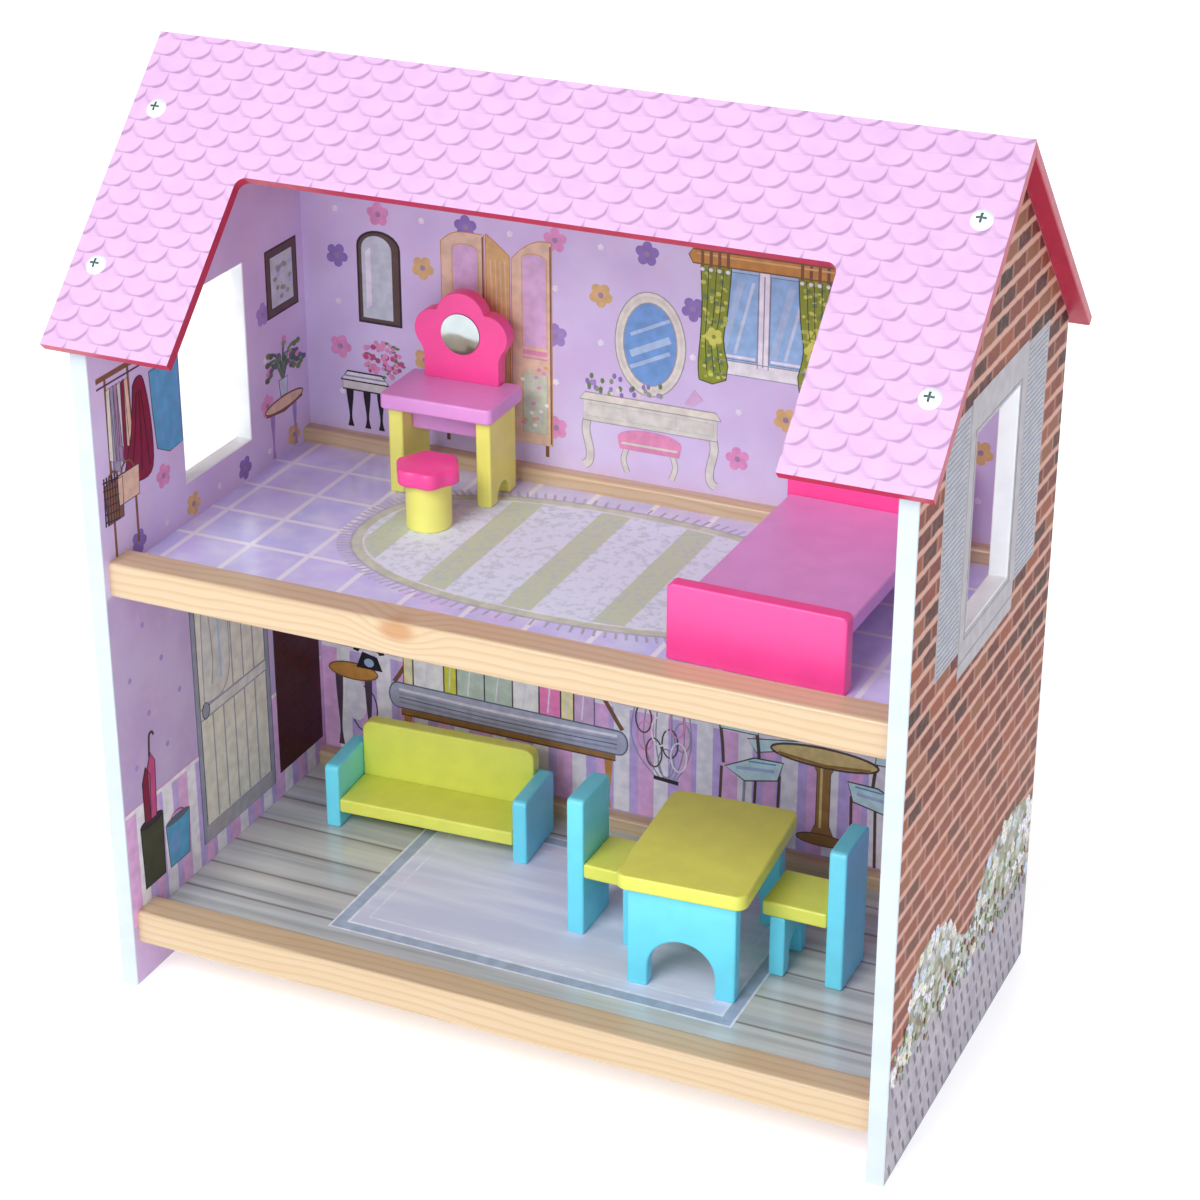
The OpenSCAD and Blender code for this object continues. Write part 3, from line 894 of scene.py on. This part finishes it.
def curved_legs(paper, points, width, rim):
    """A pair of bowed white legs with a grey rim, from the points of the right one."""
    for side in (-1, 1):
        leg = curve([(side * u, v) for u, v in points])
        paper.line(leg, "mist", 1, width + rim)
        paper.line(leg, "ivory", 2, width)


def dressing_table(paper):
    """A white table with an oval mirror and a pink-seated stool."""
    paper.fill(ellipse(0, 70, 18.8, 27, 36), "cream", 1, "mist", 0.6)
    paper.line(ellipse(0, 70, 16.6, 24.4, 32), "ivory", 3, 1.4, closed=True)
    paper.fill(ellipse(0, 70, 14.2, 21.5, 32), "sky", 2, "mist", 0.6)
    for v, width in ((57, 2.0), (64, 3.6), (74, 1.8)):
        paper.line([(-10.5, v), (10.5, v + 10)], "glass", 3, width)
    curved_legs(paper, [(33.5, 27), (34.6, 20), (32.4, 9), (33, 3), (35.6, 0.8)], 3.8, 1.0)
    paper.fill(rect(-36, 25, 36, 36), "ivory", 2, "mist", 0.5)
    for left, right in ((-34, -14), (-12, 12), (14, 34)):
        paper.line(rect(left, 27.5, right, 34), "celadon", 4, 0.6, closed=True)
    paper.fill(taper(38, 36, 35, 40), "cream", 3, "mist", 0.5)
    curved_legs(paper, [(12.5, 13), (14, 7), (12, 0.5)], 2.4, 0.8)
    seat = [(-16, 13), (16, 13), (17, 19), *ellipse(0, 19, 17, 5, 12, 0, 180)]
    paper.fill(seat, "pink", 3, "rose", 0.6)
    paper.line([(-15, 16), (15, 16)], "ivory", 5, 1.2)
    rng = random.Random(11)
    scatter(
        paper, rng, 38, lambda: (rng.uniform(-34, 6), 41 + abs(rng.gauss(0, 4))),
        (1.1, 1.5), ("sage", "mauve", "cream", "violet", "leaf"), 5,
    )
    for k in range(5):
        paper.line([(19 + k, 42), (24 + k, 50 - k)], "blush", 5, 1.2)


def curtained_window(paper, u0, u1, foot, top):
    """Two blue panes over a white sill, and green curtains tied back below an amber pelmet."""
    middle = (u0 + u1) / 2
    paper.fill(rect(u0 + 9, foot + 9, u1 - 9, top - 2), "glass", 1)
    for left, right in ((u0 + 10, middle - 3), (middle + 3, u1 - 10)):
        paper.fill(rect(left, foot + 12, right, top - 5), "pane", 2, "steel", 0.6)
        width = right - left
        for start, ink_name, wide in ((0.1, "glass", 3.6), (0.42, "pale_blue", 1.6)):
            ends = [(left + start * width, foot + 15), (left + (start + 0.45) * width, top - 9)]
            paper.line(ends, ink_name, 4, wide)
        paper.line([(left + 1, foot + 13.5), (right - 1, foot + 13.5)], "dot", 5, 1.4)
    paper.fill(rect(middle - 2.8, foot + 9, middle + 2.8, top - 2), "stripe_white", 5, "slate", 0.5)
    paper.line([(middle, foot + 10), (middle, top - 5)], "slate", 7, 0.6)
    paper.fill(rect(u0 + 11, foot + 4, u1 - 11, foot + 11), "white", 5, "slate", 0.5)
    rng = random.Random(5)
    for side, edge in ((1, u0), (-1, u1)):
        def hung(*points):
            """Points given by how far they are in from the edge, and their height."""
            return [(edge + side * inward, v) for inward, v in points]

        outer = hung((0, top - 2), (1, top - 22), (0.5, top - 38), (-0.5, foot + 8), (0, foot - 1))
        hem = hung((7, foot - 2.5), (14, foot + 0.5))
        inner = hung((15, foot + 8), (12.5, top - 40), (14.5, top - 24), (16, top - 2))
        paper.fill([*curve(outer, 4), *hem, *curve(inner, 4)], "olive", 6, "bottle", 0.5)
        for _ in range(95):
            drop = rng.random()
            waist = 1 - 0.22 * math.exp(-((drop - 0.68) / 0.16) ** 2)
            spot = (edge + side * rng.uniform(1.6, 13.8 * waist), top - 5 - drop * (top - foot - 6))
            size = rng.uniform(0.7, 1.5)
            sprig_ink = rng.choice(("moss", "lime", "leaf", "moss"))
            paper.fill(ellipse(*spot, size, size * 0.85, 7), sprig_ink, 8)
        for k in (0.28, 0.55, 0.8):
            fold = hung((15 * k, top - 4), (13 * k, top - 26), (11 * k, top - 40), (14 * k, foot + 4))
            paper.line(curve(fold), "bottle", 9, 0.35)
        flower(paper, edge + side * 7.5, top - 39, 4.8, "lime", "olive", 10)
    pelmet = [(u0 - 4, top - 3), (u1 + 4, top - 3), (u1 + 6, top + 1),
              (u1 + 4, top + 4), (u0 - 4, top + 4), (u0 - 6, top + 1)]
    paper.fill(pelmet, "amber", 9, "brown", 0.7)
    paper.line([(u0 - 2, top + 2), (u1 + 2, top + 2)], "sand", 11, 0.9)
    for k in range(4):
        for at in (u0 + 1 + 4.4 * k, u1 - 1 - 4.4 * k):
            paper.fill(rect(at - 0.8, top - 4, at + 0.8, top + 4.6), "brown", 11)
            paper.fill(ellipse(at, top - 5.5, 1.1, 1.0, 8), "white", 12)


def picture(paper, wide, tall, seed=0, frame_ink="umber"):
    for level, (inset, name) in enumerate(((0, "dark"), (1, frame_ink)), 1):
        paper.fill(rect(inset, inset, wide - inset, tall - inset), name, level)
    paper.fill(rect(4.5, 4.5, wide - 4.5, tall - 4.5), "mirror_glass", 3, "dark", 0.6)
    rng = random.Random(seed)
    scatter(
        paper, rng, 22, lambda: (rng.uniform(7, wide - 7), rng.uniform(7, tall - 7)),
        (1.8, 1.3), ("sage", "glass", "slate", "celadon", "grey"), 4, 8,
    )


def potted_plant(paper, height, seed):
    rng = random.Random(seed)
    paper.fill(taper(3, 0, 4.4, 9), "pale_blue", 3, "steel", 0.5)
    for _ in range(30):
        angle = rng.uniform(0.1, math.pi - 0.1)
        reach = height * rng.uniform(0.45, 1.0)
        tip = (reach * math.cos(angle), 9 + reach * math.sin(angle) * 0.8)
        middle = (reach * 0.5 * math.cos(angle) * 0.8, 9 + reach * 0.55)
        paper.line(curve([(0, 8), middle, tip], 4), rng.choice(("leaf", "fern", "steel")), 2, 1.7)
        for k in (0.0, 0.35):
            spot = (tip[0] + k * (middle[0] - tip[0]), tip[1] + k * (middle[1] - tip[1]))
            leaf_ink = rng.choice(("fern", "steel", "leaf", "sage", "rose"))
            paper.fill(ellipse(*spot, 2.3, 1.6, 8), leaf_ink, 4)


def corner_table(paper, top):
    for side in (-12, 10):
        turned_leg(paper, side, top, "mauve")
    paper.fill(ellipse(0, top, 19, 3.4, 24), "tan", 2, "brown", 0.8)
    paper.line([(-18, top - 2.2), (0, top - 4.6), (18, top - 2.2)], "brown", 4, 1.2)


def clothes_rail(paper):
    """A clothes rail with a coat, a shirt and bags, drawn from its left post to the right."""
    top = 96
    for at in (0, 19):
        paper.line([(at, 6), (at + 1, top)], "brown", 1, 1.7)
    paper.line([(-6, top), (62, top)], "brown", 2, 2.6)
    paper.line([(-6, top - 4), (34, top - 4)], "line", 2, 0.9)
    hanging = (("cream", 44), ("slate", 50), ("dusk", 46), ("ivory", 40), ("maroon", 48), ("tan", 42))
    for du, (name, drop) in zip(range(3, 21, 3), hanging):
        shape = [(du - 2, top - 7), (du + 1, top - 6), (du + 2.5, top - drop), (du - 3, top - drop + 3)]
        paper.fill(shape, name, 3, "line", 0.4)
    coat = [(23, top - 12), (27, top - 9), (32, top - 12), (36, top - 34), (35, top - 57),
            (24, top - 60), (12, top - 54), (19, top - 34)]
    paper.fill(loop(coat), "maroon", 5, "dark", 0.6)
    for shift in (-4, 1, 5):
        fold = [(27 + shift * 0.4, top - 16), (26 + shift, top - 36), (24 + shift * 1.7, top - 55)]
        paper.line(curve(fold), "oxblood", 7, 0.7)
    shirt = [(37, top - 10), (62, top - 9), (62, top - 54),
             (50, top - 55), (40, top - 50), (38, top - 30)]
    paper.fill(shirt, "aqua", 5, "steel", 0.6)
    for k in (0.2, 0.45, 0.7, 0.9):
        fold = [(38 + 24 * k, top - 12), (39 + 23 * k, top - 32), (41 + 20 * k, top - 50)]
        paper.line(curve(fold), "sky", 7, 0.9)
    for du, dv, wide, tall, name in ((5, -66, 17, 15, "tan"), (-5, -72, 13, 20, "brown")):
        middle, half = du + wide / 2, wide / 2
        bag = taper(half, top + dv, half + 1, top + dv + tall, middle)
        paper.fill(bag, name, 7, "line", 0.6)
        paper.line(ellipse(middle, top + dv + tall, wide * 0.3, 5, 9, 0, 180), "brown", 8, 0.9)
    for k in range(6):
        at = top - 50 - 4 * k
        paper.line([(-7, at), (5, at - 1.5)], "dark", 9, 0.6)
        paper.line([(-6 + 2.2 * k, top - 48), (-7 + 2.2 * k, top - 72)], "dark", 9, 0.6)


def panelled_door(paper, wide, tall):
    """A cream boarded door in a blue-grey frame, with clothes on its rail."""
    paper.fill(rect(0, 0, wide, tall), "slate", 2, "steel", 0.7)
    paper.fill(rect(4, 5, wide - 4, tall - 4), "cream", 3, "line", 0.6)
    boards = 6
    for k in range(1, boards):
        at = 5 + (wide - 10) * k / boards
        paper.line([(at, 10), (at, tall - 8)], "grey", 5, 1.1)
    paper.fill(rect(3, 0, wide - 3, 9), "louvre", 5, "slate", 0.6)
    paper.fill(rect(4, 70, wide - 4, 76), "ivory", 6, "slate", 0.9)
    paper.fill(ellipse(9, 74, 3.4, 4.5, 12), "slate", 8, "dark", 0.6)
    coat = [(8, 78), (26, 78), (34, 96), (30, tall - 14), (12, tall - 10)]
    paper.fill(loop(coat), "ivory", 8, "slate", 0.7)
    paper.line(curve([(14, tall - 14), (18, 104), (16, 86)]), "grey", 10, 1.0)
    paper.line([(24, tall - 18), (25, 86)], "glass", 10, 1.6)


def umbrella_stand(paper):
    paper.fill(taper(9, 0, 10, 35), "bottle", 2, "black", 0.7)
    paper.fill(ellipse(0, 35, 10, 2.4, 20), "dark", 4, "black", 0.6)
    for lean, top, name in ((-3, 66, "maroon"), (2, 72, "deep_pink")):
        shape = [(lean - 2.6, 36), (lean + 2.6, 36), (lean + 4.5, top - 6),
                 (lean + 1, top), (lean - 2.5, top - 8)]
        paper.fill(shape, name, 5, "dark", 0.6)
    paper.line([(2, 70), (3, 80)], "dark", 6, 1.2)
    paper.line(ellipse(5, 80, 2, 2.4, 8, 0, 180), "dark", 6, 1.2)


def blue_bag(paper):
    paper.line(ellipse(0, 24, 7, 5, 12, 0, 180), "deep_pink", 1, 1.0)
    paper.fill(taper(9, 0, 11, 25), "aqua", 2, "steel", 0.8)
    paper.fill(ellipse(0, 25, 11, 2.2, 18), "steel", 4)
    paper.fill(ellipse(-3, 12, 4, 7, 14), "sky", 4)


def dark_door(paper, wide, tall):
    paper.fill(rect(0, 0, wide, tall), "oxblood", 2, "dark", 1.2)
    for v in range(12, tall - 4, 9):
        paper.line([(2, v), (wide - 2, v + 0.6)], "dark", 4, 0.6)


def shutters(paper):
    """A grey window surround with a louvred shutter on each side."""
    sill, head = 245.3, 339.7
    half, leaf, rim = 31.2, 33.0, 8.8
    edge, pitch, inset, shade_gap = half + rim, 2.5, 2.5, 1.8
    for side in (-1, 1):
        left, right = sorted((side * edge, side * (edge + leaf)))
        paper.fill(rect(left, sill - 5.3, right, head + 16.3), "shutter", 1)
        first, last = sill - 3.2, head + 14
        for k in range(math.ceil((last - first) / pitch)):
            v = first + pitch * k
            paper.line([(left + inset, v), (right - inset, v)], "louvre_shadow", 2, 0.95)
            paper.line([(left + inset, v + 0.9), (right - inset, v + 0.9)], "pale_blue", 3, 0.5)
    for u0, v0, u1, v1 in (
        (-edge, sill - 19, edge, sill), (-edge, head, edge, head + 18),
        (-edge, sill, -half, head), (half, sill, edge, head),
    ):
        paper.fill(rect(u0, v0, u1, v1), "surround", 4)
    ring = rect(-half - shade_gap, sill - shade_gap, half + shade_gap, head + shade_gap)
    paper.line(ring, "louvre_shadow", 6, 1.0, closed=True)
    paper.line([(-edge, sill - 12), (edge, sill - 12)], "louvre_shadow", 6, 0.6)


def hedge(paper, seed):
    """Two mounds of blossom over paving along the foot of the wall."""
    edge = WALL_DEPTH - 1
    rng = random.Random(seed)
    crown = [(-edge, 62), (-84, 72), (-74, 98), (-52, 103), (-30, 96), (-8, 78), (8, 74),
             (28, 94), (56, 104), (84, 101), (edge, 94)]
    paper.fill([(-edge, 48), (edge, 48), *curve(crown, 5)[::-1]], "foliage", 1)
    paper.fill(rect(-edge, 1, edge, 56), "paving", 2)
    for row, k in product(range(5), range(22)):
        u = -edge + 5 + 9.6 * k + 4.8 * (row % 2) + rng.uniform(-1, 1)
        v = 6 + 10.6 * row + rng.uniform(-0.8, 0.8)
        if u < edge - 3:
            paper.line([(u - 1.4, v + 3.2), (u + 1.4, v - 3.2)], "paving_dark", 3, 2.4)
    tops = curve(crown, 8)
    for k in range(150):
        u, top = rng.choice(tops)
        u = min(max(u + rng.uniform(-2, 2), -edge + 4), edge - 4)
        v = top - abs(rng.gauss(0, 20)) + 1
        if v > 50:
            petal_ink = rng.choice(("white", "pale_blue", "dot", "mint", "cream"))
            flower(paper, u, v, rng.uniform(2.4, 3.8), petal_ink, "moss", 4 + k % 8)
    for k in range(130):
        spot = (rng.uniform(-edge + 3, edge - 3), rng.uniform(46, 74))
        leaf_ink = rng.choice(("leaf", "sage", "brown", "grey"))
        paper.fill(ellipse(*spot, 1.0, 1.7, 7), leaf_ink, 13 + k % 8)


def phone_table(paper):
    for side in (-9, 9):
        turned_leg(paper, side, 44, "line")
    paper.fill(ellipse(1, 30, 7, 13, 20), "dot", 1)
    paper.fill(ellipse(0, 47, 15, 5, 24), "amber", 2, "brown", 0.8)
    paper.fill([(2, 50), (18, 50), (15, 58), (6, 60)], "black", 4)
    paper.line(ellipse(10, 60, 8, 4, 12, 0, 180), "black", 5, 3.4)
    paper.fill(ellipse(10, 54, 3, 2.6, 14), "glass", 6)
    paper.line(ellipse(6, 25, 8, 14, 18), "line", 1, 0.9, closed=True)


def daybed(paper, width):
    seat = 38
    paper.fill(rect(2, 29, width - 2, seat - 2), "oak", 1, "umber", 0.9)
    for at in (6, width - 6):
        turned_leg(paper, at, 30, "amber")
    cushions = (
        ("cushion_cream", 6, 24), ("cushion_white", 19, 27), ("cushion_lime", 8, 25),
        ("cushion_sage", 17, 28), ("cushion_sage", 17, 26), ("cushion_white", 16, 25),
        ("cushion_pink", 13, 26), ("cushion_cream", 8, 24), ("blush", 12, 27),
    )
    left = 4
    for name, wide, height in cushions:
        cushion = arched(left, seat + 6, left + wide, seat + 8 + height, 3)
        paper.fill(cushion, name, 3, "line", 0.45)
        paper.line([(left + 0.4 * wide, seat + 11), (left + 0.5 * wide, seat + height)], "dot", 5, 0.8)
        left += wide - 0.4
    roll = [*ellipse(width, seat + 2, 5, 7, 9, -90, 90), *ellipse(0, seat + 2.5, 5, 7.5, 9, 90, 270)]
    paper.fill(roll, "roll", 5, "steel", 0.8)
    shading = ((6, "dot", 1.6), (3.4, "slate", 0.8), (1, "steel", 0.6), (-1.6, "slate", 1.2))
    for lift, name, thick in shading:
        bow = [(1, seat + lift), (width / 2, seat + lift - 1.2), (width - 1, seat + lift)]
        paper.line(curve(bow), name, 7, thick)
    back = [(-2, seat + 10), (30, seat + 46), (width - 30, seat + 46), (width + 2, seat + 10)]
    paper.line(curve(back), "brown", 2, 2.4)


def cafe_table(paper):
    column = [(-7, 6), (7, 6), (3.6, 14), (3.6, 44), (7, 51), (-7, 51), (-3.6, 44), (-3.6, 14)]
    paper.fill(column, "oak", 2, "umber", 0.5)
    paper.line([(-1.2, 12), (-1.2, 47)], "honey", 3, 1.4)
    paper.fill(ellipse(0, 5, 14, 3.4, 22), "oak", 3, "umber", 0.6)
    paper.fill(ellipse(0, 53, 29, 5.5, 28), "honey", 4, "umber", 1.2)
    paper.line([(-25, 51), (0, 48.6), (25, 51)], "oak", 6, 1.6)


def cafe_chair(paper, flip):
    """A chair with a pale seat, seen from its front corner. Its back is on the side flip points to."""
    def at(across, up):
        return flip * across, up

    legs = ((18, 38, "umber"), (5, 34, "slate"), (-1, 35, "umber"), (-14, 39, "umber"))
    for across, top, name in legs:
        paper.line([at(across, top), at(across + 1, 0)], name, 1, 1.6)
    seat = [at(16, 38.5), at(5, 32), at(-13, 36), at(-16, 47), at(0, 46.5)]
    paper.fill(seat, "seat_aqua", 3, "umber", 0.8)
    paper.line([at(10, 39), at(-11, 41)], "glass", 5, 1.8)
    paper.line([at(3, 44), at(-12, 45)], "aqua", 5, 0.8)
    for across in (17, -3):
        paper.line(curve([at(across, 40), at(across + 1, 54), at(across + 4, 76)]), "umber", 2, 1.8)
    paper.fill([at(22, 78), at(0, 78), at(-2, 60), at(19, 60)], "seat_aqua", 3, "umber", 0.8)


def wire_stand(paper, seed):
    """A basket of looped wire that holds flowers."""
    for across in (-21, -14, -7, 2, 9, 13):
        wire = [(0.3 * across, 2), (0.8 * across, 14), (across, 30), (0.7 * across, 60)]
        paper.line(curve(wire), "slate", 1, 0.8)
    loops = (
        (-13, 26, "rose"), (-8, 17, "umber"), (-5, 30, "stripe_white"), (-1, 12, "slate"),
        (1, 24, "umber"), (6, 17, "stripe_white"), (8, 29, "slate"), (-14, 36, "umber"),
        (5, 37, "rose"),
    )
    for k, (across, up, name) in enumerate(loops):
        paper.line(ellipse(across, up, 4.5, 8.5, 16), name, 2 + k % 3, 0.9, closed=True)
    paper.line([(-8, 2.5), (6, 1.5)], "dark", 6, 2.2)
    bouquet(paper.at(0, 62), 13, seed, ("stripe_white", "blush", "pink"))


def papered_wall(name, slot, face_x, u_axis, door):
    """The two rooms' prints on one side wall. Only the left wall has the doors."""
    paper = Print(name, slot, X * face_x, u_axis, Z)
    sign = u_axis.y
    front, back = sorted((-WALL_DEPTH * sign, BACK_Y * sign))
    window = (-36, 240, 36, 345)
    dado, floor = 95, 227
    if door:
        clothes_rail(paper.at(-94, floor))
        picture(paper.at(52, 302), 31, 36)
        potted_plant(paper.at(64, 258), 26, 4)
        corner_table(paper.at(64, floor), 27)
        clear = [window, (-96, 264, -28, 330), (52, 250, 90, 345)]
    else:
        picture(paper.at(52, 290), 32, 42, 2, "brown")
        corner_table(paper.at(-66, floor), 31)
        potted_plant(paper.at(-66, 261), 30, 8)
        clear = [window, (-90, 225, -40, 335), (42, 282, 92, 345)]
    stripes(paper, front + 1, back - 1, LOWER_Z + 0.2, dado)
    if door:
        panelled_door(paper.at(-37, 45), 72, 159)
        dark_door(paper.at(41, 48), 45, 148)
        umbrella_stand(paper.at(-83, 49))
        blue_bag(paper.at(-60, 49))
    else:
        picture(paper.at(-70, 120), 50, 58, 6, "brown")
        picture(paper.at(20, 128), 42, 42, 7, "tan")
    flower_field(paper, (front + 7, back - 7), (UPPER_Z + 4, 330), (-50.5, 159.2), clear)
    for u, v in dots(front + 14, 7, 118, 24):
        if u < back - 6 and (u <= -44 if door else abs(u) > 74):
            paper.fill(ellipse(u, v, *DOT), "mauve", 0)
    paper.finish()


def brick_side(name, slot, face_x, u_axis, seed):
    paper = Print(name, slot, X * face_x, u_axis, Z)
    shutters(paper)
    hedge(paper, seed)
    paper.finish()


def upper_back_print():
    paper = Print("upper_back_print", SLOT_OF["upper_back_panel"], Y * BACK_Y, X, Z)
    foot = UPPER_RAIL_TOP + 2.5
    wall_mirror(paper.at(-162, 294), 25, 50)
    side_table(paper.at(-160, foot), 264 - foot)
    bouquet(paper.at(-149, 275), 11.5, 21)
    folding_screen(paper.at(-114, foot + 6), 351 - foot - 6)
    dressing_table(paper.at(0, foot + 1))
    curtained_window(paper, 26, 92, 294, 355)
    wall_mirror(paper.at(120, 296), 26, 44)
    clear = [(-166, 225, -134, 345), (-120, 225, -56, 345), (-36, 225, 36, 284), (-14, 284, 14, 330),
             (26, 284, 92, 348), (114, 290, 152, 345)]
    flower_field(paper, (-178, 188), (UPPER_RAIL_TOP + 12, 356), (-149, 254.3), clear)
    paper.finish()


def lower_back_print():
    paper = Print("lower_back_print", SLOT_OF["lower_back_panel"], Y * BACK_Y, X, Z)
    foot = LOWER_RAIL_TOP + 1
    stripes(paper, WALL_IN + 0.5, -WALL_IN - 0.5, foot, 103)
    phone_table(paper.at(-174, foot + 2))
    daybed(paper.at(-147, foot), 131)
    wire_stand(paper.at(12, foot + 22), 31)
    cafe_chair(paper.at(60, foot + 2), -1)
    cafe_table(paper.at(98, foot + 4))
    cafe_chair(paper.at(127, foot - 0.5), 1)
    panel = [(56, 59), (87, 64), (87, 59), (61, 52)]
    paper.at(0, foot).fill(panel, "seat_aqua", 0, "umber", 0.6)
    picture(paper.at(-120, 138), 58, 48, 9, "brown")
    picture(paper.at(70, 132), 34, 48, 10, "tan")
    picture(paper.at(118, 140), 34, 32, 12)
    for u, v in dots(-182, 14, 116, 26):
        if not (-126 < u < -56 or 64 < u < 158) and u < 190:
            paper.fill(ellipse(u, v, *DOT), "mauve", 0)
    paper.finish()


def upper_floor_print():
    """An oval rug with a fringe."""
    paper = Print("upper_floor_print", SLOT_OF["upper_floor"], Z * UPPER_Z, X, Y)
    centre, half, power = (3.0, 5.0), (116.0, 62.0), 2.4

    def outline(extra, points=72):
        angles = (math.tau * k / points for k in range(points))
        return [tuple(
            middle + (reach + extra) * math.copysign(abs(way) ** (2 / power), way)
            for middle, reach, way in zip(centre, half, (math.cos(angle), math.sin(angle)))
        ) for angle in angles]

    for near, far in zip(outline(1, 150), outline(8.5, 150)):
        paper.line([near, far], "fringe", 0, 1.4)
    paper.fill(outline(2.6), "fringe", 1)
    paper.fill(outline(1.2), "celadon", 2)
    paper.fill(outline(-3.6), "rug_edge", 3)
    paper.fill(outline(-4.8), "oval_rug", 4)
    paper.finish()


def lower_floor_print():
    """A pale blue rectangular rug with a double border."""
    paper = Print("lower_floor_print", SLOT_OF["lower_floor"], Z * LOWER_Z, X, Y)
    left, right, front, back = -107, 110, -63, 62
    bands = (
        (0, "rug_edge"), (1.2, "rug_blue"), (7, "rug_edge"), (8.5, "blue_rug"),
        (15, "rug_edge"), (16, "blue_rug"),
    )
    for level, (inset, name) in enumerate(bands):
        paper.fill(rect(left + inset, front + inset, right - inset, back - inset), name, level)
    paper.finish()


papered_wall("left_wall_print", SLOT_OF["left_wall"], WALL_IN, Y, True)
papered_wall("right_wall_print", SLOT_OF["right_wall"], -WALL_IN, -Y, False)
brick_side("left_outside_print", SLOT_OF["left_wall"], WALL_OUT, -Y, 41)
brick_side("right_outside_print", SLOT_OF["right_wall"], -WALL_OUT, Y, 42)
upper_back_print()
lower_back_print()
upper_floor_print()
lower_floor_print()


# ---- Camera, lights and floor --------------------------------------------


def studio():
    """A plain pale floor, a broad key light high in front, weaker fills and pale surroundings."""
    bpy.ops.mesh.primitive_plane_add(size=14)
    ground = bpy.context.object
    ground.name = "studio_floor"
    look = Look("studio_floor", 0.9)
    look.colour(look.mix(look.noise(400, 2), (246, 246, 248), (250, 250, 251)))
    look.surface.inputs["Emission Color"].default_value = (1, 1, 1, 1)
    look.surface.inputs["Emission Strength"].default_value = 0.42
    ground.data.materials.append(look.material)

    world = bpy.data.worlds.new("studio")
    scene.world = world
    world.use_nodes = True
    backdrop = world.node_tree.nodes["Background"]
    backdrop.inputs["Color"].default_value = (0.94, 0.97, 1, 1)
    backdrop.inputs["Strength"].default_value = 0.48

    aim = Vector((0, 0, 0.22))
    for name, place, size, power, colour in (
        ("key", (-0.4, -1.95, 2.0), 1.3, 47, (1.0, 0.975, 0.94)),
        ("front_fill", (0.0, -2.7, 0.6), 1.6, 13, (0.76, 0.89, 1.0)),
        ("right_fill", (1.9, -1.7, 0.7), 1.2, 8, (0.92, 0.97, 1.0)),
        ("back_fill", (0.3, 2.6, 1.6), 1.8, 26, (1.0, 1.0, 1.0)),
    ):
        light = bpy.data.lights.new(name, "AREA")
        light.size, light.energy, light.color = size, power, colour
        lamp = bpy.data.objects.new(name, light)
        lamp.location = place
        lamp.rotation_euler = (aim - Vector(place)).to_track_quat("-Z", "Y").to_euler()
        scene.collection.objects.link(lamp)


def camera():
    """The photograph's viewpoint: in front, to the right and above."""
    place = Vector((0.5181, -1.110, 0.7985))
    yaw, pitch = -0.4265, -0.4494
    towards = Vector((
        math.sin(yaw) * math.cos(pitch), math.cos(yaw) * math.cos(pitch), math.sin(pitch)
    ))
    lens = bpy.data.cameras.new("camera")
    lens.lens, lens.sensor_width = 85.55, 36
    eye = bpy.data.objects.new("camera", lens)
    eye.location = place
    eye.rotation_euler = towards.to_track_quat("-Z", "Y").to_euler()
    scene.collection.objects.link(eye)
    scene.camera = eye


studio()
camera()
scene.view_settings.view_transform = "Standard"
